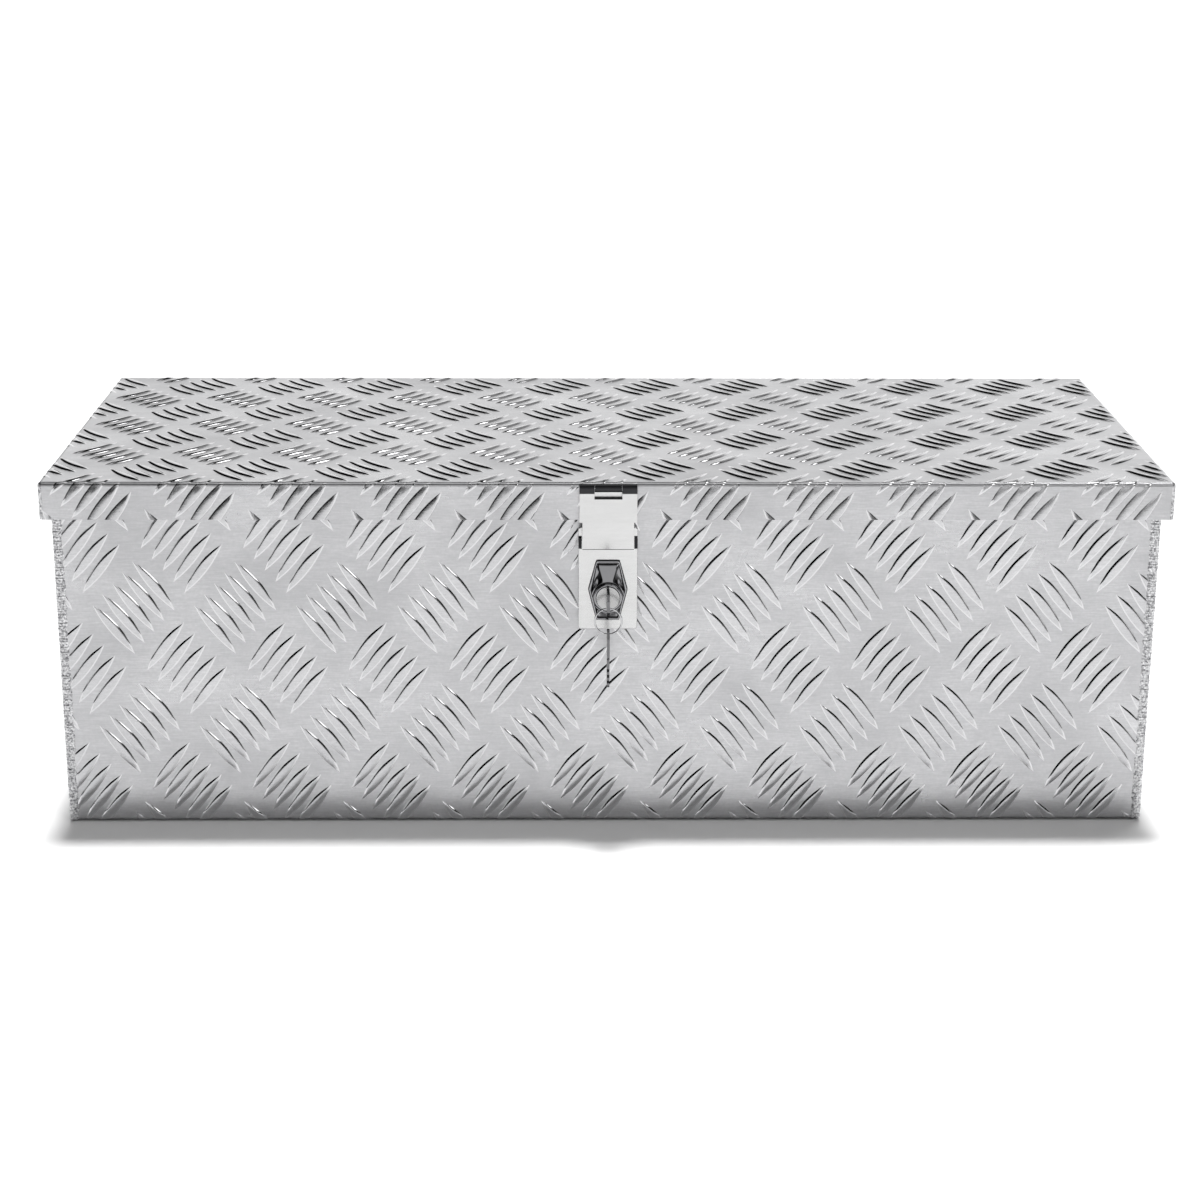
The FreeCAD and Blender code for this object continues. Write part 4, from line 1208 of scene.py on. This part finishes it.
@dataclass
class TreadLid:
    """The lid: one sheet folded down on four sides, with its corner welds."""

    sizes: ToolBoxSizes
    paints: Paints
    pattern: TreadPattern
    phase: tuple[float, float] = (-0.6, -84.4)

    def panel(self) -> bpy.types.Object:
        """Builds the top and its four skirts from one blank."""
        s = self.sizes
        inner_x, inner_y = s.lid_x - s.fold, s.lid_y - s.fold
        skirt = s.top_z - s.fold - s.lid_low
        reach = s.fold * QUARTER + skirt
        edge = MirroredFold(s.fold)

        def place(u: np.ndarray, w: np.ndarray, height: np.ndarray) -> np.ndarray:
            """Folds flat points of the lid's blank about its top face.

            Args:
                u: places along the box.
                w: places across the box.
                height: heights above the sheet.

            Returns:
                The folded points.
            """
            result = np.column_stack([u, w, s.top_z + height])
            for axis, inner in ((0, inner_x), (1, inner_y)):
                flat = (u, w)[axis]
                past = np.abs(flat) > inner + 1e-6
                folded = edge.at(np.abs(flat[past]) - inner, height[past])
                result[past, axis] = np.sign(flat[past]) * (inner + folded[:, 0])
                result[past, 2] = s.top_z + folded[:, 1]
            return result

        blank = FlatBlank([(-inner_x, inner_x, -inner_y - reach, inner_y + reach),
                           (-inner_x - reach, inner_x + reach, -inner_y, inner_y)])
        bent = s.fold * QUARTER
        for low_x, high_x in ((-inner_x - reach, -inner_x), (inner_x, inner_x + reach)):
            start = -inner_x - bent if low_x < 0 else inner_x
            blank.folds.append(Fold((start, start + bent), (-inner_y, inner_y), False))
            blank.welded += [Fold((low_x, high_x), (edge_y, edge_y), True) for edge_y in (-inner_y, inner_y)]
        for low_y, high_y in ((-inner_y - reach, -inner_y), (inner_y, inner_y + reach)):
            start = -inner_y - bent if low_y < 0 else inner_y
            blank.folds.append(Fold((-inner_x, inner_x), (start, start + bent), True))
            blank.welded += [Fold((edge_x, edge_x), (low_y, high_y), False) for edge_x in (-inner_x, inner_x)]
        sheet = TreadSheet("lid_panel_tread", blank, place, self.phase, -1, s.sheet, self.pattern)
        obj = sheet.build()
        self.paints.dress(obj, Finish.GROUND, Finish.BAR_TOP, Finish.FLANK, Finish.INSIDE)
        return obj

    def corner_welds(self) -> bpy.types.Object:
        """Builds the four dressed corner welds as rounded strips that close the corners."""
        s = self.sizes
        radius, turns, levels = s.fold + 0.15, 8, 5
        random = np.random.default_rng(5)
        heights = np.arange(s.lid_low, s.top_z - s.fold, 0.9)
        all_points: list[tuple[float, float, float]] = []
        all_faces: list[tuple[int, ...]] = []
        for sign_x in (-1, 1):
            for sign_y in (-1, 1):
                rows = []
                for z in heights:
                    ripple = 1.0 + random.normal(0.0, 0.03)
                    rows.append([(radius * ripple, turn, z) for turn in np.linspace(0, QUARTER, turns)])
                for lift in np.linspace(0.0, QUARTER * 0.96, levels)[1:]:
                    rows.append([(radius * math.cos(lift), turn,
                                  s.top_z - s.fold + radius * math.sin(lift))
                                 for turn in np.linspace(0, QUARTER, turns)])
                grid = []
                for shrink in (0.0, s.sheet):
                    for row in rows:
                        line = []
                        for size, turn, z in row:
                            size = max(size - shrink, 0.05)
                            top = s.top_z - shrink * 0.98
                            line.append(len(all_points))
                            all_points.append((sign_x * (s.lid_x - s.fold + size * math.cos(turn)),
                                               sign_y * (s.lid_y - s.fold + size * math.sin(turn)),
                                               min(z, top)))
                        grid.append(line)
                count = len(rows)
                outer, inner = grid[:count], grid[count:]
                for skin, flip in ((outer, False), (inner, True)):
                    for low, high in zip(skin, skin[1:]):
                        for step in range(turns - 1):
                            quad = (low[step], low[step + 1], high[step + 1], high[step])
                            all_faces.append(quad[::-1] if flip else quad)
                for column in (0, turns - 1):
                    for index in range(count - 1):
                        all_faces.append((outer[index][column], outer[index + 1][column],
                                          inner[index + 1][column], inner[index][column]))
                for index in (0, count - 1):
                    for step in range(turns - 1):
                        all_faces.append((outer[index][step], outer[index][step + 1],
                                          inner[index][step + 1], inner[index][step]))
        obj = make_object("lid_corner_weld_beads", np.array(all_points) * MM, all_faces)
        smooth(obj, 50.0)
        self.paints.dress(obj, Finish.WELD)
        return obj

    def build(self) -> None:
        """Builds every piece of the lid and ties it to the frame."""
        place_piece(self.panel(), "lid", "tread_plate", "lid_panel")
        place_piece(self.corner_welds(), "lid", "weld", "lid_corner_welds")


@dataclass
class MirroredFold:
    """A quarter bend from a level top down into a straight skirt."""

    radius: float

    def at(self, distance: np.ndarray, height: np.ndarray) -> np.ndarray:
        """Places points past the fold's start.

        Args:
            distance: how far past the start, along the outside face.
            height: how far outside that face.

        Returns:
            The (outward, rise) place of each point, the rise counted from the top face.
        """
        turn = np.minimum(distance / self.radius, QUARTER)
        drop = np.maximum(distance - self.radius * QUARTER, 0.0)
        out = (self.radius + height) * np.sin(turn)
        rise = (self.radius + height) * np.cos(turn) - self.radius - drop
        return np.column_stack([out, rise])


# ------------------------------------------------------------------ lock
@dataclass(frozen=True)
class Step:
    """One ring of the lock housing's section, from the outline inward.

    inset is measured in from the six-sided outline; share runs from that outline (1) to
    the plug's bore (0); roundness turns the ring from six-sided (0) to round (1).
    Faces between two dark rings take the black finish: at the foot this is the gasket; on the floors of the
    two grooves and round the bore it is painted shade.
    """

    inset: float
    share: float
    rise: float
    roundness: float
    dark: bool = False


@dataclass
class LockHousing:
    """The cast chrome lock body on its gasket: a bevelled foot that swells into a collar."""

    paints: Paints
    outline: tuple[tuple[float, float], ...] = (
        (7.9, 190.6), (13.1, 170.4), (7.6, 148.9), (-7.6, 148.9), (-13.1, 170.4), (-7.9, 190.6))
    axis_z: float = 166.4
    back_y: float = -162.7
    bore: float = 7.96
    spokes: int = 120
    collar: float = 11.6
    softness: float = 70.0
    # dark rings: the first three make the gasket; the dark pairs at rises 1.7 and 5.4 and the last two round
    # the bore are painted shade
    steps: tuple[Step, ...] = (
        Step(-0.35, 1.0, 0.0, 0.0, True), Step(-0.35, 1.0, 0.6, 0.0, True),
        Step(0.25, 1.0, 0.6, 0.0, True), Step(0.25, 1.0, 1.9, 0.0), Step(0.55, 1.0, 2.2, 0.0),
        Step(1.25, 1.0, 2.3, 0.0), Step(1.35, 1.0, 1.7, 0.0, True), Step(1.95, 1.0, 1.7, 0.0, True),
        Step(2.05, 1.0, 2.2, 0.05), Step(2.1, 0.85, 3.0, 0.15), Step(2.1, 0.68, 4.0, 0.4),
        Step(2.1, 0.52, 5.0, 0.7), Step(2.1, 0.40, 5.7, 0.95), Step(2.1, 0.34, 5.8, 1.0),
        Step(2.1, 0.33, 5.4, 1.0, True), Step(2.1, 0.28, 5.4, 1.0, True), Step(2.1, 0.27, 6.2, 1.0),
        Step(2.1, 0.22, 7.1, 1.0), Step(2.1, 0.18, 7.7, 1.0), Step(2.1, 0.12, 7.95, 1.0),
        Step(2.1, 0.05, 7.95, 1.0), Step(2.1, 0.045, 6.9, 1.0, True), Step(2.1, 0.0, 6.9, 1.0, True))

    def reach(self, turn: float) -> float:
        """Distance from the lock's axis to the outline in one direction.

        Args:
            turn: direction in the front plane, in radians.

        Returns:
            The distance to the outline, its corners rounder as softness falls.
        """
        step = np.array([math.cos(turn), math.sin(turn)])
        nearest = []
        corners = [np.array((x, z - self.axis_z)) for x, z in self.outline]
        for start, end in zip(corners, corners[1:] + corners[:1]):
            side = end - start
            normal = np.array([side[1], -side[0]]) / np.linalg.norm(side)
            distance = float(normal @ start)
            if distance < 0:
                normal, distance = -normal, -distance
            facing = float(normal @ step)
            if facing > 1e-6:
                nearest.append(distance / facing)
        softness = self.softness
        closest = min(nearest)
        total = sum((closest / distance) ** softness for distance in nearest)
        return closest * total ** (-1 / softness)

    def build(self) -> None:
        """Builds the housing and ties it to the frame."""
        turns = np.linspace(0, 2 * math.pi, self.spokes, endpoint=False)
        reaches = np.array([self.reach(turn) for turn in turns])
        points, faces, kinds = [], [], []
        for step in self.steps:
            hexagon = self.bore + (reaches - step.inset - self.bore) * step.share
            circle = self.bore + (self.collar - self.bore) * min(step.share * 2.0, 1.0)
            radius = np.minimum(hexagon * (1 - step.roundness) + circle * step.roundness,
                                reaches - step.inset)
            points += [(size * math.cos(turn), self.back_y - step.rise,
                        self.axis_z + size * math.sin(turn)) for size, turn in zip(radius, turns)]
        points += [(self.bore * math.cos(turn), self.back_y, self.axis_z + self.bore * math.sin(turn))
                   for turn in turns]
        rings = len(self.steps) + 1
        dark = [step.dark for step in self.steps] + [True]
        for ring in range(rings):
            following = (ring + 1) % rings
            for spoke in range(self.spokes):
                beside = (spoke + 1) % self.spokes
                faces.append((ring * self.spokes + spoke, ring * self.spokes + beside,
                              following * self.spokes + beside, following * self.spokes + spoke))
                kinds.append(int(dark[ring] and dark[following]))
        obj = make_object("lock_housing_body", np.array(points) * MM, faces)
        obj.data.materials.append(None)
        obj.data.materials.append(None)
        obj.data.polygons.foreach_set("material_index", kinds)
        smooth(obj, 35.0)
        # second finish: the gasket, and painted shade on the groove floors
        self.paints.dress(obj, Finish.CHROME, Finish.RUBBER_AND_SHADE)
        place_piece(obj, "box", "lock_chrome", "lock_housing")


@dataclass
class BaseShoulders:
    """The two small raised shoulders of the lock base beside the flap's foot, near black to paint the shade
    there.
    """

    paints: Paints
    inner_x: float = 17.7
    outer_x: float = 19.9
    low_z: float = 198.8
    high_z: float = 207.6
    back_y: float = -162.4
    front_y: float = -165.0

    def build(self) -> None:
        """Builds both shoulders and ties them to the frame."""
        for side, word in ((-1, "left"), (1, "right")):
            points, faces = [], []
            section = [(self.back_y, self.low_z), (self.front_y + 1.2, self.low_z),
                       (self.front_y, self.low_z + 1.4), (self.front_y + 0.6, self.high_z - 1.0),
                       (self.front_y + 1.4, self.high_z), (self.back_y, self.high_z)]
            for x, tuck in ((self.inner_x, 0.0), (self.outer_x, 0.9)):
                points += [(side * x, min(y + tuck * 0.8, self.back_y), z) for y, z in section]
            count = len(section)
            faces = [tuple(range(count)), tuple(range(count, 2 * count))]
            faces += [(step, (step + 1) % count, count + (step + 1) % count, count + step)
                      for step in range(count)]
            obj = make_object(f"base_shoulder_{word}", np.array(points) * MM, faces)
            bevel = obj.modifiers.new("edge", "BEVEL")
            bevel.width = 0.25 * MM
            bevel.segments = 2
            # near black: painted shade beside the flap's foot
            self.paints.dress(obj, Finish.SHADOWED)
            place_piece(obj, "box", "latch_metal")


# ------------------------------------------------------------------ fittings
@dataclass
class Fittings:
    """The frame's own nodes that keep their shape and get a better finish."""

    frame: dict
    paints: Paints
    finishes: dict[str, tuple[Finish, ...]] = field(default_factory=lambda: {
        "rim_seal": (Finish.RUBBER_AND_SHADE,),
        "hinge_body_leaf": (Finish.HINGE,),
        "hinge_lid_leaf": (Finish.HINGE,),
        "hinge_pin": (Finish.ZINC,),
        "hinge_body_rivets": (Finish.RIVET,),
        "hinge_lid_rivets": (Finish.RIVET,),
        "latch_leaf": (Finish.LEAF,),
        "latch_leaf_rivets": (Finish.RIVET,),
        "latch_pin": (Finish.ZINC,),
        "latch_flap": (Finish.FLAP,),
        "latch_base": (Finish.SATIN,),
        "latch_base_screws": (Finish.ZINC,),
        "lock_plug": (Finish.PLUG,),
        "lock_cam": (Finish.ZINC,),
        "lock_clip": (Finish.ZINC,),
        "lock_bolt": (Finish.ZINC,),
        "key": (Finish.KEY,),
        "key_ring": (Finish.RING,),
        "spare_key": (Finish.KEY,),
    })

    def build(self) -> None:
        """Dresses each node."""
        for side in ("left", "right"):
            for node in ("lid_stay", "stay_stud", "stay_bracket", "stay_pivot"):
                self.finishes[f"{node}_{side}"] = (Finish.ZINC,)
        for node, finishes in self.finishes.items():
            obj = self.frame["nodes"][node]
            self.paints.dress(obj, *finishes)
            LOG.info("%s: finish %s", node, finishes[0].value.name)


# ------------------------------------------------------------------ studio
@dataclass(frozen=True)
class Softbox:
    """One soft light: its place, the point it faces, its size in metres and its power in watts."""

    name: str
    at: tuple[float, float, float]
    aim: tuple[float, float, float]
    size: tuple[float, float]
    power: float

    def hang(self) -> None:
        """Hangs the light in the studio."""
        light = bpy.data.lights.new(self.name, "AREA")
        light.shape = "RECTANGLE"
        light.size, light.size_y = self.size
        light.energy = self.power
        obj = bpy.data.objects.new(self.name, light)
        obj.location = self.at
        obj.rotation_euler = (Vector(self.aim) - Vector(self.at)).to_track_quat("-Z", "Y").to_euler()
        bpy.context.scene.collection.objects.link(obj)


@dataclass
class Studio:
    """Floor, lights and camera."""

    floor_z: float = -1.3
    camera_at: tuple[float, float, float] = (-27.945, -1793.468, 669.551)
    yaw: float = 0.797
    pitch: float = 17.269
    roll: float = 0.225
    lens: float = 75.666
    floor_size: float = 12.0
    floor_light: float = 3.3
    shadow_spread: float = 6.0
    shadow_lean: float = -7.5
    room_light: float = 1.25
    softboxes: tuple[Softbox, ...] = (
        Softbox("front_softbox", (1.15, -1.6, 1.8), (0.15, -1.6, 1.8), (1.4, 1.7), 18.0),
        Softbox("overhead_softbox", (0.70, 0.42, 1.6), (0.70, 0.42, 0.6), (0.5, 0.55), 5.0),
        Softbox("back_softbox", (0.85, 1.10, 1.6), (0.85, 1.10, 0.6), (1.1, 0.8), 0.9))

    def floor(self) -> None:
        """Lays a wide pale floor."""
        size = self.floor_size
        points = np.array([(-size, -size, 0), (size, -size, 0), (size, size, 0), (-size, size, 0)], float)
        points[:, 2] = self.floor_z * MM
        obj = make_object("studio_floor", points, [(0, 1, 2, 3)])
        tree = Tree("studio_floor")
        tree.shader.inputs["Base Color"].default_value = (0.93, 0.93, 0.93, 1.0)
        tree.shader.inputs["Roughness"].default_value = 0.9
        obj.data.materials.append(tree.material)

    def overhead(self) -> None:
        """Hangs the wide diffused light that whitens the floor and casts the soft shadow."""
        light = bpy.data.lights.new("overhead_diffuser", "SUN")
        light.energy = self.floor_light
        light.angle = math.radians(self.shadow_spread)
        obj = bpy.data.objects.new("overhead_diffuser", light)
        obj.location = (0.0, 0.2, 2.5)
        obj.rotation_euler = (math.radians(self.shadow_lean), 0.0, 0.0)
        obj.visible_glossy = False
        bpy.context.scene.collection.objects.link(obj)

    def surround(self) -> None:
        """Sets the room: dark, with a pale low rim, backdrop, ceiling strip and far sides."""
        world = bpy.data.worlds.new("studio_room")
        bpy.context.scene.world = world
        world.use_nodes = True
        nodes, links = world.node_tree.nodes, world.node_tree.links
        place = nodes.new("ShaderNodeTexCoord")
        split = nodes.new("ShaderNodeSeparateXYZ")
        links.new(place.outputs["Generated"], split.inputs[0])

        def band(axis: str, stops: Sequence[tuple[float, float]]) -> bpy.types.NodeSocket:
            """Adds a grey ramp along one axis of the room, from -1 to 1.

            Args:
                axis: X, Y or Z.
                stops: places along the axis with their greys.

            Returns:
                The ramp's grey.
            """
            ramp = nodes.new("ShaderNodeValToRGB")
            elements = ramp.color_ramp.elements
            while len(elements) < len(stops):
                elements.new(0.5)
            for element, (where, value) in zip(elements, stops):
                element.position = (where + 1) / 2
                element.color = (value, value, value, 1.0)
            spread = nodes.new("ShaderNodeMapRange")
            spread.inputs["From Min"].default_value = -1.0
            links.new(split.outputs[axis], spread.inputs["Value"])
            links.new(spread.outputs["Result"], ramp.inputs["Fac"])
            return ramp.outputs["Color"]

        def join(kind: str, first: bpy.types.NodeSocket, second: bpy.types.NodeSocket
                 ) -> bpy.types.NodeSocket:
            """Joins two greys.

            Args:
                kind: the way that they blend.
                first: one grey.
                second: the other grey.

            Returns:
                The joined grey.
            """
            node = nodes.new("ShaderNodeMix")
            node.data_type = "RGBA"
            node.blend_type = kind
            node.inputs["Factor"].default_value = 1.0
            sides = [socket for socket in node.inputs if socket.type == "RGBA"]
            links.new(first, sides[0])
            links.new(second, sides[1])
            return next(socket for socket in node.outputs if socket.type == "RGBA")

        low_rim = join("MULTIPLY", band("Z", [(-1.0, 1.0), (-0.02, 1.0), (0.08, 0.25), (0.30, 0.02)]),
                       band("Y", [(-1.0, 0.8), (-0.6, 0.7), (-0.25, 0.12), (0.5, 0.12), (0.8, 1.0)]))
        low_rim = join("MULTIPLY", low_rim,
                       band("X", [(-1.0, 0.15), (-0.45, 0.15), (-0.22, 1.0), (1.0, 1.0)]))
        backdrop = join("MULTIPLY", band("Z", [(-1.0, 1.0), (0.46, 1.0), (0.62, 0.0)]),
                        band("Y", [(-1.0, 0.0), (0.45, 0.0), (0.72, 1.0), (1.0, 1.0)]))
        backdrop = join("MULTIPLY", backdrop,
                        band("X", [(-1.0, 0.0), (-0.38, 0.0), (-0.24, 1.0), (0.55, 1.0), (0.75, 0.0)]))
        strip = join("MULTIPLY", band("Z", [(-1.0, 0.0), (0.86, 0.0), (0.92, 0.8), (1.0, 0.8)]),
                     band("X", [(-1.0, 0.0), (-0.30, 0.0), (-0.25, 1.0), (0.25, 1.0), (0.30, 0.0)]))
        backdrop = join("LIGHTEN", backdrop, strip)
        ahead = join("MULTIPLY", band("Y", [(-1.0, 0.75), (-0.84, 0.75), (-0.74, 0.0), (1.0, 0.0)]),
                     band("X", [(-1.0, 0.0), (-0.26, 0.0), (-0.20, 1.0), (0.20, 1.0), (0.26, 0.0)]))
        around = join("LIGHTEN", ahead,
                      band("X", [(-1.0, 0.75), (-0.90, 0.75), (-0.86, 0.0), (0.86, 0.0), (0.90, 0.75)]))
        around = join("MULTIPLY", around, band("Z", [(0.06, 0.0), (0.16, 1.0), (0.48, 1.0), (0.60, 0.0)]))
        backdrop = join("LIGHTEN", backdrop, around)
        background = nodes["Background"]
        links.new(join("LIGHTEN", low_rim, backdrop), background.inputs["Color"])
        background.inputs["Strength"].default_value = self.room_light

    def camera(self) -> None:
        """Sets up the camera."""
        yaw, pitch, roll = (math.radians(turn) for turn in (self.yaw, self.pitch, self.roll))
        ahead = Vector((math.sin(yaw) * math.cos(pitch), math.cos(yaw) * math.cos(pitch), -math.sin(pitch)))
        level = Vector((math.cos(yaw), -math.sin(yaw), 0.0))
        above = level.cross(ahead)
        right = level * math.cos(roll) + above * math.sin(roll)
        up = above * math.cos(roll) - level * math.sin(roll)
        data = bpy.data.cameras.new("camera")
        data.lens = self.lens
        data.sensor_width = 36.0
        data.clip_end = 100.0
        obj = bpy.data.objects.new("camera", data)
        turn = Matrix((right, up, -ahead)).transposed().to_4x4()
        obj.matrix_world = Matrix.Translation(Vector(self.camera_at) * MM) @ turn
        bpy.context.scene.collection.objects.link(obj)
        bpy.context.scene.camera = obj

    def build(self) -> None:
        """Builds the whole studio."""
        self.floor()
        self.surround()
        self.overhead()
        for softbox in self.softboxes:
            softbox.hang()
        self.camera()
        bpy.context.scene.view_settings.view_transform = "Standard"


def main() -> None:
    """Builds the tool box around its frame and sets the studio."""
    logging.basicConfig(level=logging.INFO, format="%(message)s", stream=sys.stdout)
    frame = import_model()
    sizes = ToolBoxSizes.from_frame()
    paints = Paints()
    pattern = TreadPattern()
    TreadBox(sizes, paints, pattern).build()
    TreadLid(sizes, paints, pattern).build()
    LockHousing(paints).build()
    BaseShoulders(paints).build()
    Fittings(frame, paints).build()
    Studio().build()


if __name__ == "__main__":
    main()
